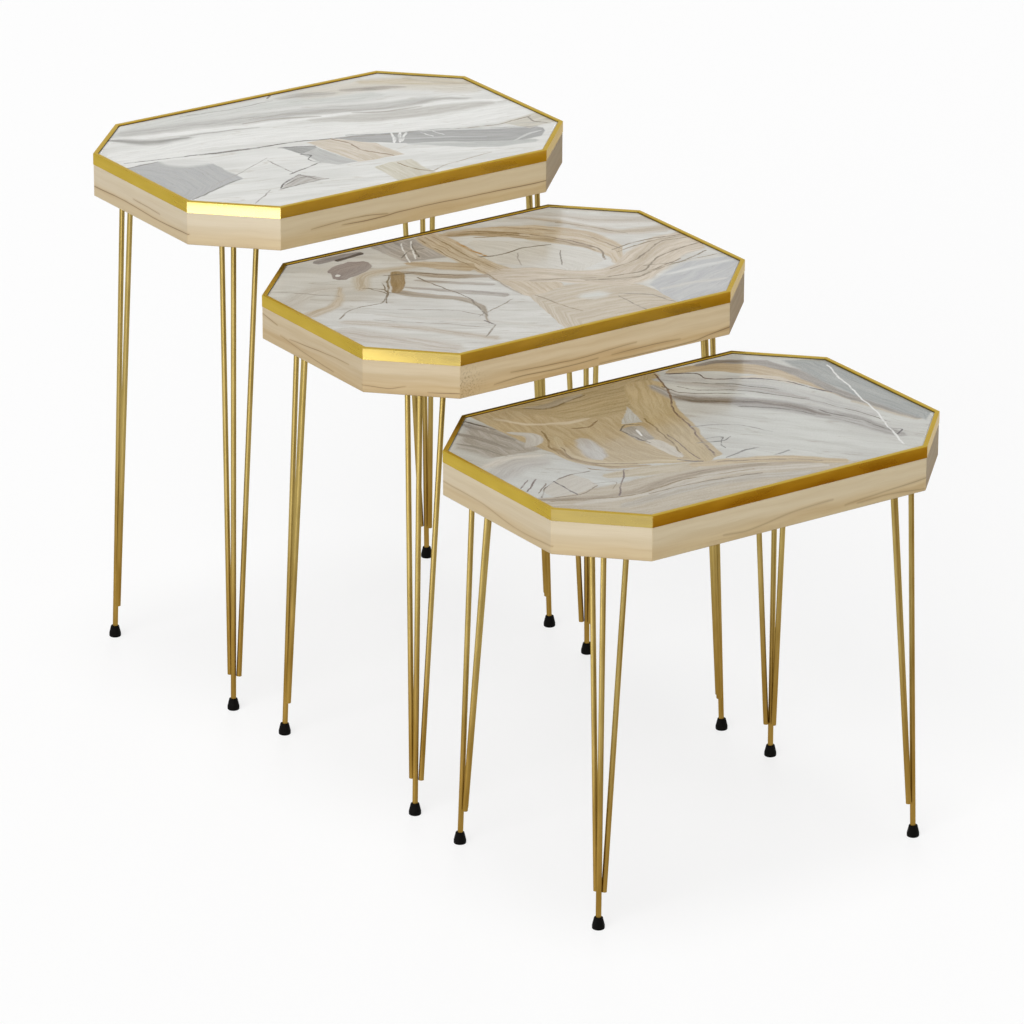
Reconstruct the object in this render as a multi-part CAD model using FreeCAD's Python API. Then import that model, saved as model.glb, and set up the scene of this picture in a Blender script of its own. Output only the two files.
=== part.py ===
import FreeCAD, Part
import math
import os

# Set of three nesting tables with cut-corner tops and three-rod wire legs.
# Millimetres. +Z is up and the floor is z = 0. +X runs along the long side of the tops.
# The tables stand in one row along Y: the large one at the back (+Y), the medium one in
# the middle and the small one in front (-Y). Pushing a table towards +Y tucks it under
# the next taller one.

# --- table tops -----------------------------------------------------------------------
TOP_LENGTH = 500.0
TOP_WIDTH = 345.0
CORNER_CUT = 74.0           # how much of each side a 45 degree corner takes off
SIDE_HEIGHT = 50.0          # metal trim and wooden board together
TOP_GAP = 3.0               # between two neighbouring tops, seen from above

LARGE_HEIGHT = 600.0
MEDIUM_HEIGHT = 537.0
SMALL_HEIGHT = 470.0

# --- metal edge trim, an angle strip mitred at every corner -----------------------------
TRIM_HEIGHT = 13.0
TRIM_THICKNESS = 1.2
RIM_WIDTH = 5.0             # flange that laps over the edge of the inlay
TRIM_PROUD = 0.4            # trim stands this far in front of the wood
TRIM_EDGE_RADIUS = 0.45

# --- top layers -------------------------------------------------------------------------
SEAL_THICKNESS = 1.0
SEAL_SETBACK = 0.6          # from the free edge of the flange
INLAY_THICKNESS = 4.0       # at its border, under the flange
FIELD_RISE = 0.5            # the open field of the inlay stands above its border
SHADOW_GAP = 1.0            # groove between the field and the free edge of the flange
INLAY_CLEARANCE = 0.3       # between the inlay's edge and the trim
PANEL_THICKNESS = 16.0
PANEL_CLEARANCE = 0.2       # between the core panel's edge and the boards

# --- apron boards -----------------------------------------------------------------------
BOARD_THICKNESS = 16.0
LEDGE_WIDTH = 8.0           # step inside the boards that carries the core panel
BOARD_EDGE_RADIUS = 0.8

# --- wire legs --------------------------------------------------------------------------
ROD_DIAMETER = 6.0
ROD_GAP = 0.1               # left between the rods where they are welded together
WELD_HEIGHT = 40.0          # side rods end this far above the floor

# --- leg plates and screws --------------------------------------------------------------
PLATE_THICKNESS = 3.0
PLATE_INNER_MARGIN = 16.0   # from a rod's axis to the plate's inner edges
PLATE_OUTER_MARGIN = 12.0   # from a rod's axis to the plate's outer edges
PLATE_CORNER_MARGIN = 5.0   # from the middle rod's axis to the cut corner
SCREW_EDGE_DISTANCE = 7.0
SCREW_DIAMETER = 4.0
SCREW_HEAD_DIAMETER = 8.0
SCREW_HEAD_HEIGHT = 2.4
SCREW_TIP_COVER = 4.0       # panel left above the screw's tip
SCREW_HOLE_CLEARANCE = 0.2
RECESS_DEPTH = 1.3
RECESS_WIDTH = 0.9

# --- rubber feet ------------------------------------------------------------------------
FOOT_HEIGHT = 13.0
FOOT_DIAMETER = 13.5
FOOT_WALL = 1.6             # rubber round the rod at the foot's mouth
FOOT_BAND = 4.0             # straight part above the floor
FOOT_SOLE = 4.0             # rubber under the rod's end
FOOT_CLEARANCE = 0.05
FOOT_BOTTOM_RADIUS = 1.0
FOOT_TOP_RADIUS = 0.9

# Where a leg stands and how its rods spread, each as (along the long side, along the
# short side) and counted towards the middle of the table.
# setback: middle rod's axis, from the inner face of the corner board, square to it
# shift: from the middle of the corner board, along it and towards the table's end
# lean: from the foot to the top of the middle rod
# side_a, side_b: from the top of the middle rod to the tops of the two side rods
LARGE_LEG = {"setback": 6.3, "shift": 5.3, "lean": (15.0, 11.5),
             "side_a": (21.0, -15.0), "side_b": (-2.0, 22.0)}
MEDIUM_LEG = {"setback": 11.6, "shift": -4.2, "lean": (15.0, 11.5),
              "side_a": (21.0, -15.0), "side_b": (-2.0, 22.0)}
SMALL_LEG = {"setback": 7.3, "shift": 1.4, "lean": (9.5, 10.5),
             "side_a": (28.5, -3.0), "side_b": (3.7, 27.0)}

ROW_STEP = TOP_WIDTH + TOP_GAP
TABLES = [
    ("large", LARGE_HEIGHT, ROW_STEP, LARGE_LEG),
    ("medium", MEDIUM_HEIGHT, 0.0, MEDIUM_LEG),
    ("small", SMALL_HEIGHT, -ROW_STEP, SMALL_LEG),
]

# Sides of the top, counter-clockwise from the front.
SIDE_NAMES = ["front", "front_right", "right_end", "rear_right",
              "rear", "rear_left", "left_end", "front_left"]
CORNERS = {"front_left": (-1, -1), "front_right": (1, -1),
           "rear_right": (1, 1), "rear_left": (-1, 1)}

ROD_RADIUS = ROD_DIAMETER / 2
PANEL_SEAT = BOARD_THICKNESS - LEDGE_WIDTH
MITRE_OVERRUN = 2 * BOARD_THICKNESS


def vec(x, y, z):
    return FreeCAD.Vector(x, y, z)


def octagon(inset):
    """Corner points of the top's outline, moved inwards by inset on every side."""
    a = TOP_LENGTH / 2 - inset
    b = TOP_WIDTH / 2 - inset
    c = CORNER_CUT - inset * (2 - math.sqrt(2))
    return [(-a + c, -b), (a - c, -b), (a, -b + c), (a, b - c),
            (a - c, b), (-a + c, b), (-a, b - c), (-a, -b + c)]


def flat_face(points, z):
    """Horizontal face with straight sides."""
    loop = [vec(x, y, z) for x, y in points]
    return Part.Face(Part.makePolygon(loop + loop[:1]))


def prism(points, low, high):
    return flat_face(points, low).extrude(vec(0, 0, high - low))


def rounded_face(corners, place):
    """Face with a rounding radius at each corner (u, v, radius); place() gives 3-D points."""
    count = len(corners)
    ends = []
    for i, (u, v, radius) in enumerate(corners):
        here = vec(u, v, 0)
        to_last = vec(*corners[i - 1][:2], 0).sub(here).normalize()
        to_next = vec(*corners[(i + 1) % count][:2], 0).sub(here).normalize()
        if radius == 0:
            ends.append((here, None, here))
            continue
        half = to_last.getAngle(to_next) / 2
        reach = radius / math.tan(half)
        inward = (to_last + to_next).normalize()
        middle = here + inward * (radius / math.sin(half) - radius)
        ends.append((here + to_last * reach, middle, here + to_next * reach))
    edges = []
    for i, (start, middle, stop) in enumerate(ends):
        if middle is not None:
            arc = [place(p.x, p.y) for p in (start, middle, stop)]
            edges.append(Part.Arc(*arc).toShape())
        following = ends[(i + 1) % count][0]
        edges.append(Part.LineSegment(place(stop.x, stop.y),
                                      place(following.x, following.y)).toShape())
    return Part.Face(Part.Wire(edges))


def mitred_strip(side, profile):
    """Strip along one side of the top, with its ends cut on the corners' bisectors.

    profile: corners (depth from the outline, height, radius) of the cross-section.
    """
    following = (side + 1) % len(SIDE_NAMES)
    outline = octagon(0)
    start = vec(*outline[side], 0)
    along = vec(*outline[following], 0).sub(start)
    length = along.Length
    along.normalize()
    inward = vec(-along.y, along.x, 0)
    base = start - along * MITRE_OVERRUN
    section = rounded_face(profile, lambda depth, z: base + inward * depth + vec(0, 0, z))
    bar = section.extrude(along * (length + 2 * MITRE_OVERRUN))
    outer = octagon(-MITRE_OVERRUN / 4)
    inner = octagon(MITRE_OVERRUN)
    wedge = [outer[side], outer[following], inner[following], inner[side]]
    heights = [corner[1] for corner in profile]
    cutter = prism(wedge, min(heights) - MITRE_OVERRUN, max(heights) + MITRE_OVERRUN)
    return bar.common(cutter).Solids[0]


def inlay(z):
    """Decorative sheet with a lower border that slips under the flange."""
    border = prism(octagon(TRIM_THICKNESS + INLAY_CLEARANCE), z["panel_top"], z["inlay_top"])
    field = prism(octagon(RIM_WIDTH + SHADOW_GAP), z["inlay_top"], z["inlay_top"] + FIELD_RISE)
    return border.fuse(field).removeSplitter().Solids[0]


def ring(outer_inset, inner_inset, low, high):
    """Flat octagonal ring."""
    return prism(octagon(outer_inset), low, high).cut(prism(octagon(inner_inset), low, high))


def levels(height):
    """Heights of the layers of one table's top."""
    seal_top = height - TRIM_THICKNESS
    inlay_top = seal_top - SEAL_THICKNESS
    panel_top = inlay_top - INLAY_THICKNESS
    panel_bottom = panel_top - PANEL_THICKNESS
    return {"rim": height, "seal_top": seal_top, "inlay_top": inlay_top,
            "panel_top": panel_top, "panel_bottom": panel_bottom,
            "plate_bottom": panel_bottom - PLATE_THICKNESS,
            "trim_bottom": height - TRIM_HEIGHT, "apron_bottom": height - SIDE_HEIGHT}


def apron_board(side, z):
    return mitred_strip(side, [
        (TRIM_PROUD, z["apron_bottom"], BOARD_EDGE_RADIUS),
        (BOARD_THICKNESS, z["apron_bottom"], BOARD_EDGE_RADIUS),
        (BOARD_THICKNESS, z["panel_bottom"], 0),
        (PANEL_SEAT, z["panel_bottom"], 0),
        (PANEL_SEAT, z["panel_top"], 0),
        (TRIM_THICKNESS, z["panel_top"], 0),
        (TRIM_THICKNESS, z["trim_bottom"], 0),
        (TRIM_PROUD, z["trim_bottom"], 0),
    ])


def trim_strip(side, z):
    return mitred_strip(side, [
        (0, z["trim_bottom"], 0),
        (TRIM_THICKNESS, z["trim_bottom"], 0),
        (TRIM_THICKNESS, z["seal_top"], 0),
        (RIM_WIDTH, z["seal_top"], 0),
        (RIM_WIDTH, z["rim"], TRIM_EDGE_RADIUS),
        (0, z["rim"], TRIM_EDGE_RADIUS),
    ])


def leg_points(corner, leg, z):
    """Foot and rod ends of one leg: the middle rod first, then the two side rods."""
    sx, sy = corner
    half_cut = CORNER_CUT / 2
    diagonal = math.sqrt(2)
    square_in = (BOARD_THICKNESS + leg["setback"]) / diagonal
    along_board = leg["shift"] / diagonal
    top_x = TOP_LENGTH / 2 - half_cut - square_in + along_board
    top_y = TOP_WIDTH / 2 - half_cut - square_in - along_board
    lean_x, lean_y = leg["lean"]
    top_z = z["plate_bottom"]

    def point(x, y, height):
        return vec(sx * x, sy * y, height)

    foot = point(top_x + lean_x, top_y + lean_y, 0)
    middle_top = point(top_x, top_y, top_z)
    weld = foot + (middle_top - foot) * (WELD_HEIGHT / top_z)
    sole = foot + (middle_top - foot) * (FOOT_SOLE / top_z)
    rods = [(sole, middle_top)]
    for name in ("side_a", "side_b"):
        dx, dy = leg[name]
        spread = point(-dx, -dy, 0)
        beside = vec(spread.x, spread.y, 0).normalize() * (ROD_DIAMETER + ROD_GAP)
        rods.append((weld + beside, middle_top + spread))
    return foot, rods


def rod(low, high):
    """Round rod, square at its low end and cut level with the plate at its top."""
    along = high - low
    direction = vec(along.x, along.y, along.z).normalize()
    full = Part.makeCylinder(ROD_RADIUS, along.Length + ROD_DIAMETER, low, direction)
    reach = 2 * ROD_DIAMETER
    above = Part.makeBox(2 * reach, 2 * reach, 2 * reach,
                         vec(high.x - reach, high.y - reach, high.z))
    return full.cut(above).Solids[0]


def plate_outline(corner, rods):
    """Five-sided plate that covers the rods' tops and stays off the corner board."""
    sx, sy = corner
    tops = [(abs(high.x), abs(high.y)) for low, high in rods]
    x_in = min(x for x, y in tops) - PLATE_INNER_MARGIN
    y_in = min(y for x, y in tops) - PLATE_INNER_MARGIN
    x_out = max(x for x, y in tops) + PLATE_OUTER_MARGIN
    y_out = max(y for x, y in tops) + PLATE_OUTER_MARGIN
    cut = sum(tops[0]) + PLATE_CORNER_MARGIN * math.sqrt(2)
    outline = [(x_in, y_in), (x_out, y_in), (x_out, cut - x_out),
               (cut - y_out, y_out), (x_in, y_out)]
    edge = SCREW_EDGE_DISTANCE
    screws = [(x_in + edge, y_in + edge), (x_out - edge, y_in + edge),
              (x_in + edge, y_out - edge)]
    return [(sx * x, sy * y) for x, y in outline], [(sx * x, sy * y) for x, y in screws]


def leg_plate(outline, screws, z):
    plate = prism(outline, z["plate_bottom"], z["panel_bottom"])
    hole_radius = (SCREW_DIAMETER + SCREW_HOLE_CLEARANCE) / 2
    for x, y in screws:
        plate = plate.cut(Part.makeCylinder(hole_radius, PLATE_THICKNESS,
                                            vec(x, y, z["plate_bottom"])))
    return plate.Solids[0]


def screw(x, y, z):
    """Pan-head screw with a cross recess, driven upwards through the plate."""
    head_low = z["plate_bottom"] - SCREW_HEAD_HEIGHT
    tip = z["panel_top"] - SCREW_TIP_COVER
    radius = SCREW_DIAMETER / 2
    head_radius = SCREW_HEAD_DIAMETER / 2
    half = rounded_face([
        (0, head_low, 0),
        (head_radius, head_low, SCREW_HEAD_HEIGHT / 2),
        (head_radius, z["plate_bottom"], 0),
        (radius, z["plate_bottom"], 0),
        (radius, tip - SCREW_DIAMETER, 0),
        (0, tip, 0),
    ], lambda u, v: vec(u, 0, v))
    body = half.revolve(vec(0, 0, 0), vec(0, 0, 1), 360)
    for length, width in ((radius * 2, RECESS_WIDTH), (RECESS_WIDTH, radius * 2)):
        slot = Part.makeBox(length, width, RECESS_DEPTH, vec(-length / 2, -width / 2, head_low))
        body = body.cut(slot)
    body.translate(vec(x, y, 0))
    return body.Solids[0]


def core_panel(screws, z):
    panel = prism(octagon(PANEL_SEAT + PANEL_CLEARANCE), z["panel_bottom"], z["panel_top"])
    depth = PANEL_THICKNESS - SCREW_TIP_COVER + SCREW_HOLE_CLEARANCE
    radius = (SCREW_DIAMETER + SCREW_HOLE_CLEARANCE) / 2
    for x, y in screws:
        panel = panel.cut(Part.makeCylinder(radius, depth, vec(x, y, z["panel_bottom"])))
    return panel.Solids[0]


def rubber_foot(foot, middle_rod):
    """Push-on cap: wide at the floor, tapering to its mouth round the middle rod."""
    low, high = middle_rod
    radius = FOOT_DIAMETER / 2
    mouth = ROD_RADIUS + FOOT_CLEARANCE + FOOT_WALL
    half = rounded_face([
        (0, 0, 0),
        (radius, 0, FOOT_BOTTOM_RADIUS),
        (radius, FOOT_BAND, FOOT_BOTTOM_RADIUS),
        (mouth, FOOT_HEIGHT, FOOT_TOP_RADIUS),
        (0, FOOT_HEIGHT, 0),
    ], lambda u, v: vec(u, 0, v))
    cap = half.revolve(vec(0, 0, 0), vec(0, 0, 1), 360)
    cap.translate(foot)
    socket = Part.makeCylinder(ROD_RADIUS + FOOT_CLEARANCE, 2 * FOOT_HEIGHT, low, high - low)
    return cap.cut(socket).Solids[0]


def build_table(height, leg):
    """All pieces of one table, centred on its own middle, as {node: [solids]}."""
    z = levels(height)
    nodes = {}
    boards = [apron_board(side, z) for side in range(len(SIDE_NAMES))]
    for side, name in enumerate(SIDE_NAMES):
        key = "corner_apron_boards" if name in CORNERS else name + "_apron_board"
        nodes.setdefault(key, []).append(boards[side])
    nodes["gold_edge_trim"] = [trim_strip(side, z) for side in range(len(SIDE_NAMES))]
    nodes["rim_seal"] = [ring(TRIM_THICKNESS + INLAY_CLEARANCE, RIM_WIDTH - SEAL_SETBACK,
                              z["inlay_top"], z["seal_top"])]
    nodes["marble_inlay"] = [inlay(z)]
    plates = []
    all_screws = []
    for name, corner in CORNERS.items():
        foot, rods = leg_points(corner, leg, z)
        outline, screws = plate_outline(corner, rods)
        nodes[name + "_leg_rods"] = [rod(low, high) for low, high in rods]
        nodes[name + "_foot"] = [rubber_foot(foot, rods[0])]
        plates.append(leg_plate(outline, screws, z))
        all_screws += screws
    nodes["leg_plates"] = plates
    nodes["plate_screws"] = [screw(x, y, z) for x, y in all_screws]
    nodes["core_panel"] = [core_panel(all_screws, z)]
    return nodes


os.makedirs("parts", exist_ok=True)
for table, height, y_place, leg in TABLES:
    for node, solids in build_table(height, leg).items():
        shape = solids[0] if len(solids) == 1 else Part.makeCompound(solids)
        shape.translate(vec(0, y_place, 0))
        shape.exportStep("parts/" + table + "_" + node + ".step")
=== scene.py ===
import math
from collections import namedtuple

import bmesh
import bpy
from mathutils import Matrix, Vector


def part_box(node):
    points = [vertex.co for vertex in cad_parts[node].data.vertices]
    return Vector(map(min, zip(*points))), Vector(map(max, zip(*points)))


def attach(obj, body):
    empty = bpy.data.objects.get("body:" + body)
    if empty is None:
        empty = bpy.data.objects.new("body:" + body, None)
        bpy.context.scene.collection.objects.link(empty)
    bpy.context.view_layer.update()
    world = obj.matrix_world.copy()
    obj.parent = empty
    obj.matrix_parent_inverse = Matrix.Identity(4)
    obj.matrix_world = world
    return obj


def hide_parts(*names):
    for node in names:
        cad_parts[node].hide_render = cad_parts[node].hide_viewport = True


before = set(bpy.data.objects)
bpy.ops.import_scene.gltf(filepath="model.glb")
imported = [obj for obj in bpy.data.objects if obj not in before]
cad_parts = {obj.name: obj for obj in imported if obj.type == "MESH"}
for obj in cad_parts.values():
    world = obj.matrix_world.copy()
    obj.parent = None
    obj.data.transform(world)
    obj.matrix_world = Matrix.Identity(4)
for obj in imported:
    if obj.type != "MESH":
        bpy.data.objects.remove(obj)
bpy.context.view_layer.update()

# Nesting tables: three free-standing tables in one row. Metres, in the CAD part's frame.
# +X runs along the long side of the tops and +Y along the row, towards the large table.

MM = 0.001
TABLE_NAMES = ["large", "medium", "small"]
SIDES = ["front", "front_right", "right_end", "rear_right",
         "rear", "rear_left", "left_end", "front_left"]
STRAIGHT_SIDES = ["front", "rear", "left_end", "right_end"]
CORNER_SIDES = ["front_left", "front_right", "rear_right", "rear_left"]

# --- sizes that the frame's boxes don't give ---------------------------------------------
FLANGE = 5.0 * MM             # width of the trim's flange over the inlay
TRIM_SHEET = 1.2 * MM         # thickness of the trim's sheet metal
TRIM_ROUND = 0.55 * MM        # rounding of the trim's two top edges
BOARD = 16.0 * MM             # thickness of the apron boards
LEDGE = 8.0 * MM              # step inside the boards that carries the core panel
BOARD_ROUND = 1.0 * MM        # rounding of the boards' lower edges
MITRE_BEVEL = 0.25 * MM       # fine groove where two mitred pieces meet
SHADOW_GAP = 1.0 * MM         # between the flange's free edge and the inlay's field
INLAY_BORDER = 4.0 * MM       # thickness of the inlay under the flange
FIELD_ROUND = 0.2 * MM        # bevel round the inlay's field
SEAL_SETBACK = 0.6 * MM       # from the flange's free edge
ARC_STEPS = 4                 # faces round a rounded edge
SMOOTH_ANGLE = 32             # degrees; sharper edges are shaded sharp
CUT_SHARE = 2 - math.sqrt(2)  # how much a corner cut shrinks per unit of inset


# --- node trees --------------------------------------------------------------------------

GLOSS_LIGHT = 0.085           # what the laminate's reflection adds to the colour beneath
GLOSS_SHARE = 0.954           # and how much of that colour still comes through
LEAST_LEVEL = 0.01            # darkest linear level that is used beneath the gloss


def srgb(code):
    """Linear colour of a screen colour, written as red, green and blue in hexadecimal."""
    def linear(level):
        share = level / 255
        return share / 12.92 if share <= 0.04045 else ((share + 0.055) / 1.055) ** 2.4
    return (*(linear(level) for level in bytes.fromhex(code)), 1.0)


def under_gloss(code):
    """Colour that looks like the given one beneath the laminate's pale reflection."""
    levels = [(level - GLOSS_LIGHT) / GLOSS_SHARE for level in srgb(code)[:3]]
    return (*(max(level, LEAST_LEVEL) for level in levels), 1.0)


class Tree:
    """A node tree being wired. Inputs may be numbers, colours or sockets."""

    def __init__(self, node_tree, owner=None):
        self.tree = node_tree
        self.owner = owner
        self.nodes = node_tree.nodes
        self.links = node_tree.links
        self.nodes.clear()

    def place(self, made, inputs):
        """Sets or links the inputs of a new node."""
        for key, value in dict(inputs).items():
            if isinstance(value, bpy.types.NodeSocket):
                self.links.new(value, made.inputs[key])
            else:
                made.inputs[key].default_value = value
        return made

    def node(self, kind, inputs=(), **settings):
        made = self.nodes.new("ShaderNode" + kind)
        for name, value in settings.items():
            setattr(made, name, value)
        return self.place(made, inputs)

    def group(self, node_tree, inputs):
        return self.node("Group", inputs, node_tree=node_tree).outputs

    def math(self, operation, *values):
        return self.node("Math", enumerate(values), operation=operation).outputs[0]

    def vector(self, operation, *values):
        made = self.node("VectorMath", enumerate(values), operation=operation)
        scalar = operation in ("DOT_PRODUCT", "DISTANCE")
        return made.outputs["Value" if scalar else "Vector"]

    def scaled(self, vector, factor):
        made = self.node("VectorMath", {0: vector, "Scale": factor}, operation="SCALE")
        return made.outputs["Vector"]

    def combine(self, x, y, z=0.0):
        return self.node("CombineXYZ", {0: x, 1: y, 2: z}).outputs[0]

    def separate(self, vector):
        return self.node("SeparateXYZ", {0: vector}).outputs[:3]

    def object_point(self):
        """Place on the object, in millimetres."""
        return self.scaled(self.node("TexCoord").outputs["Object"], 1 / MM)

    def grain_point(self):
        """Place along the outline and below the rim, in millimetres."""
        return self.scaled(self.node("UVMap", uv_map="grain").outputs[0], 1 / MM)

    def noise(self, vector, scale, detail=2.0, roughness=0.5, distortion=0.0):
        made = self.node("TexNoise", {"Vector": vector, "Scale": scale, "Detail": detail,
                                      "Roughness": roughness, "Distortion": distortion})
        return made.outputs

    def drawn_noise(self, point, sizes, detail=2.0, roughness=0.5):
        """Noise of one size along each axis; a size of 0 leaves the axis out."""
        factors = [1 / size if size else 0.0 for size in sizes]
        return self.noise(self.vector("MULTIPLY", point, factors), 1.0, detail,
                          roughness)["Fac"]

    def remap(self, value, low, high, to_low=0.0, to_high=1.0):
        """Smooth step from to_low to to_high as value goes from low to high."""
        made = self.node("MapRange", enumerate([value, low, high, to_low, to_high]),
                         interpolation_type="SMOOTHSTEP", clamp=False)
        return made.outputs[0]

    def facing(self, normal, direction, low, high):
        """1 where the surface looks along a direction, falling to 0 away from it."""
        return self.remap(self.vector("DOT_PRODUCT", normal, direction), low, high)

    def mix(self, factor, first, second, blend="MIX"):
        """Colour mix. The node's sockets 6 and 7 and its output 2 are the colours."""
        made = self.node("Mix", {0: factor, 6: first, 7: second}, data_type="RGBA",
                         blend_type=blend)
        return made.outputs[2]

    def tinted(self, factor, colour, tint):
        return self.mix(factor, colour, tint, "MULTIPLY")

    def ramp(self, factor, *stops, interpolation="LINEAR"):
        """Colour ramp; each stop is (position, colour)."""
        made = self.node("ValToRGB", {"Fac": factor})
        made.color_ramp.interpolation = interpolation
        elements = made.color_ramp.elements
        for element, (position, colour) in zip(elements, (stops[0], stops[-1])):
            element.position = position
            element.color = colour
        for position, colour in stops[1:-1]:
            elements.new(position).color = colour
        return made.outputs[0]

    def bump(self, height, strength, distance):
        made = self.node("Bump", {"Height": height, "Strength": strength,
                                  "Distance": distance})
        return made.outputs[0]

    def surface(self, **inputs):
        """Ends the tree with a Principled shader; underscores in names stand for spaces."""
        named = {name.replace("_", " "): value for name, value in inputs.items()}
        shader = self.node("BsdfPrincipled", named)
        self.node("OutputMaterial", {"Surface": shader.outputs[0]})
        return self.owner


def new_material(name):
    material = bpy.data.materials.new(name)
    material.use_nodes = True
    return Tree(material.node_tree, material)


def new_group(name, inputs, outputs):
    """Empty node group, with its tree and its input sockets by name."""
    group = bpy.data.node_groups.new(name, "ShaderNodeTree")
    for way, sockets in (("INPUT", inputs), ("OUTPUT", outputs)):
        for socket, kind in sockets.items():
            group.interface.new_socket(socket, in_out=way, socket_type="NodeSocket" + kind)
    tree = Tree(group)
    return tree, tree.nodes.new("NodeGroupInput").outputs


def end_group(tree, *results):
    tree.place(tree.nodes.new("NodeGroupOutput"), enumerate(results))
    return tree.tree


# --- drawn features: bands, patches and veins --------------------------------------------
# A feature runs along an axis of its own and lies between a lower and an upper edge, both
# of which change along that axis. Three values are passed from layer to layer: the colour,
# the shade that shows in the streaks, and the place in the streak texture. The texture
# itself is looked up only once.

Feature = namedtuple("Feature", "kind colour shade blur shape")
LAYER_SOCKETS = {"Colour": "Color", "Shade": "Color", "Flow": "Vector"}
SHEET_SIZE = 12               # features per node group; small trees are quicker to wire
VEIN_BLUR = 0.45              # millimetres, like the two below
STREAK_LENGTH = 48            # of the streaks inside a feature, along its axis
STREAK_WIDTH = 4.5


def axis_group():
    """Group that gives a point's place along and across a feature, from 0 to 1."""
    tree, given = new_group("feature_axis", {"Point": "Vector", "Axis": "Vector",
                                             "Side": "Vector", "Start": "Float",
                                             "Bottom": "Float"},
                            {"Along": "Float", "Across": "Float"})
    along = tree.vector("DOT_PRODUCT", given["Point"], given["Axis"])
    across = tree.vector("DOT_PRODUCT", given["Point"], given["Side"])
    return end_group(tree, tree.math("SUBTRACT", along, given["Start"]),
                     tree.math("SUBTRACT", across, given["Bottom"]))


def layer_group():
    """Group that lays a feature over the layers below.

    The colour that comes in as Edges holds the feature's lower edge, upper edge and middle.
    """
    tree, given = new_group("feature_layer", {
        **LAYER_SOCKETS, "Along": "Float", "Across": "Float", "Edges": "Color",
        "Blur": "Float", "Strength": "Float", "Own Colour": "Color", "Own Shade": "Color",
        "Stretch": "Vector", "Shift": "Vector"}, LAYER_SOCKETS)
    lower, upper, middle = tree.node("SeparateColor", {0: given["Edges"]}).outputs
    below_upper = tree.math("SUBTRACT", upper, given["Across"])
    above_lower = tree.math("SUBTRACT", given["Across"], lower)
    depth = tree.math("MINIMUM", below_upper, above_lower)
    outside = tree.math("MULTIPLY", given["Blur"], -1.0)
    mask = tree.remap(depth, outside, given["Blur"], 0.0, given["Strength"])
    inside = tree.math("GREATER_THAN", mask, 0.5)
    place = tree.combine(given["Along"], tree.math("SUBTRACT", middle, given["Across"]))
    own_flow = tree.vector("MULTIPLY_ADD", place, given["Stretch"], given["Shift"])
    # A vector mix has its vectors in sockets 4 and 5 and in output 1.
    flow = tree.node("Mix", {0: inside, 4: given["Flow"], 5: own_flow}, data_type="VECTOR")
    return end_group(tree, tree.mix(mask, given["Colour"], given["Own Colour"]),
                     tree.mix(mask, given["Shade"], given["Own Shade"]), flow.outputs[1])


def path_stops(path):
    """Axis and stops (along, lower, upper) of a line with a half width at each corner."""
    start = Vector(path[0][:2])
    axis = (Vector(path[-1][:2]) - start).normalized()
    stops = []
    for x, y, half in path:
        offset = Vector((x, y)) - start
        across = axis.x * offset.y - axis.y * offset.x
        stops.append((offset.dot(axis), across - half, across + half))
    return start, axis, stops


def outline_stops(corners):
    """Axis and stops (along, lower, upper) of a convex outline."""
    same = 0.01
    points = [Vector(corner) for corner in corners]
    reach = [max(p[i] for p in points) - min(p[i] for p in points) for i in (0, 1)]
    axis = Vector((1, 0)) if reach[0] > reach[1] else Vector((0, 1))
    start = points[0]
    places = [((p - start).dot(axis), axis.x * (p - start).y - axis.y * (p - start).x)
              for p in points]
    stops = []
    for along in sorted({round(place[0], 3) for place in places}):
        crossings = []
        for (a, low), (b, high) in zip(places, places[1:] + places[:1]):
            if min(a, b) - same <= along <= max(a, b) + same:
                share = 0 if abs(b - a) < same else (along - a) / (b - a)
                crossings.append(low + (high - low) * share)
                if abs(b - a) < same:
                    crossings.append(high)
        stops.append((along, min(crossings), max(crossings)))
    return start, axis, stops


def closed_ends(stops, tip):
    """The stops, and one more past each end, where the two edges have crossed over."""
    ends = []
    for (along, lower, upper), way in ((stops[0], -1), (stops[-1], 1)):
        middle = (lower + upper) / 2
        ends.append((along + way * tip, middle + tip / 2, middle - tip / 2))
    return [ends[0], *stops, ends[1]]


def draw_feature(tree, groups, point, below, feature, strength):
    """Lays one feature over the layers below, and gives the new layers."""
    straight = feature.kind == "patch"
    find_stops = outline_stops if straight else path_stops
    start, axis, stops = find_stops(feature.shape)
    side = Vector((-axis.y, axis.x))
    stops = closed_ends(stops, tip=2 * feature.blur + 1)
    first = stops[0][0]
    length = stops[-1][0] - first
    bottom = min(min(stop[1:]) for stop in stops)
    height = max(max(stop[1:]) for stop in stops) - bottom
    along, across = tree.group(groups["axis"], {
        "Point": point,
        "Axis": (axis / length).to_3d(),
        "Side": (side / height).to_3d(),
        "Start": (start.dot(axis) + first) / length,
        "Bottom": (start.dot(side) + bottom) / height,
    })
    ramp_stops = []
    for place, lower, upper in stops:
        low, high = (lower - bottom) / height, (upper - bottom) / height
        ramp_stops.append(((place - first) / length, (low, high, (low + high) / 2, 1.0)))
    edges = tree.ramp(along, *ramp_stops, interpolation="LINEAR" if straight else "CARDINAL")
    return tree.group(groups["layer"], {
        "Colour": below[0], "Shade": below[1], "Flow": below[2],
        "Along": along, "Across": across, "Edges": edges,
        "Blur": feature.blur / height, "Strength": strength,
        "Own Colour": feature.colour, "Own Shade": feature.shade,
        "Stretch": (length / STREAK_LENGTH, height / STREAK_WIDTH, 0.0),
        # A shift in depth gives each feature streaks of its own.
        "Shift": (0.0, 0.0, start.x / 9 + start.y / 7),
    })[:3]


# --- marble-look inlays ------------------------------------------------------------------
# Every feature is placed in millimetres from the middle of its table, x towards the right
# end and y towards the rear. A band or vein is a line of (x, y, half width); a patch is a
# convex outline, counter-clockwise. Later features lie over earlier ones.

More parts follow.
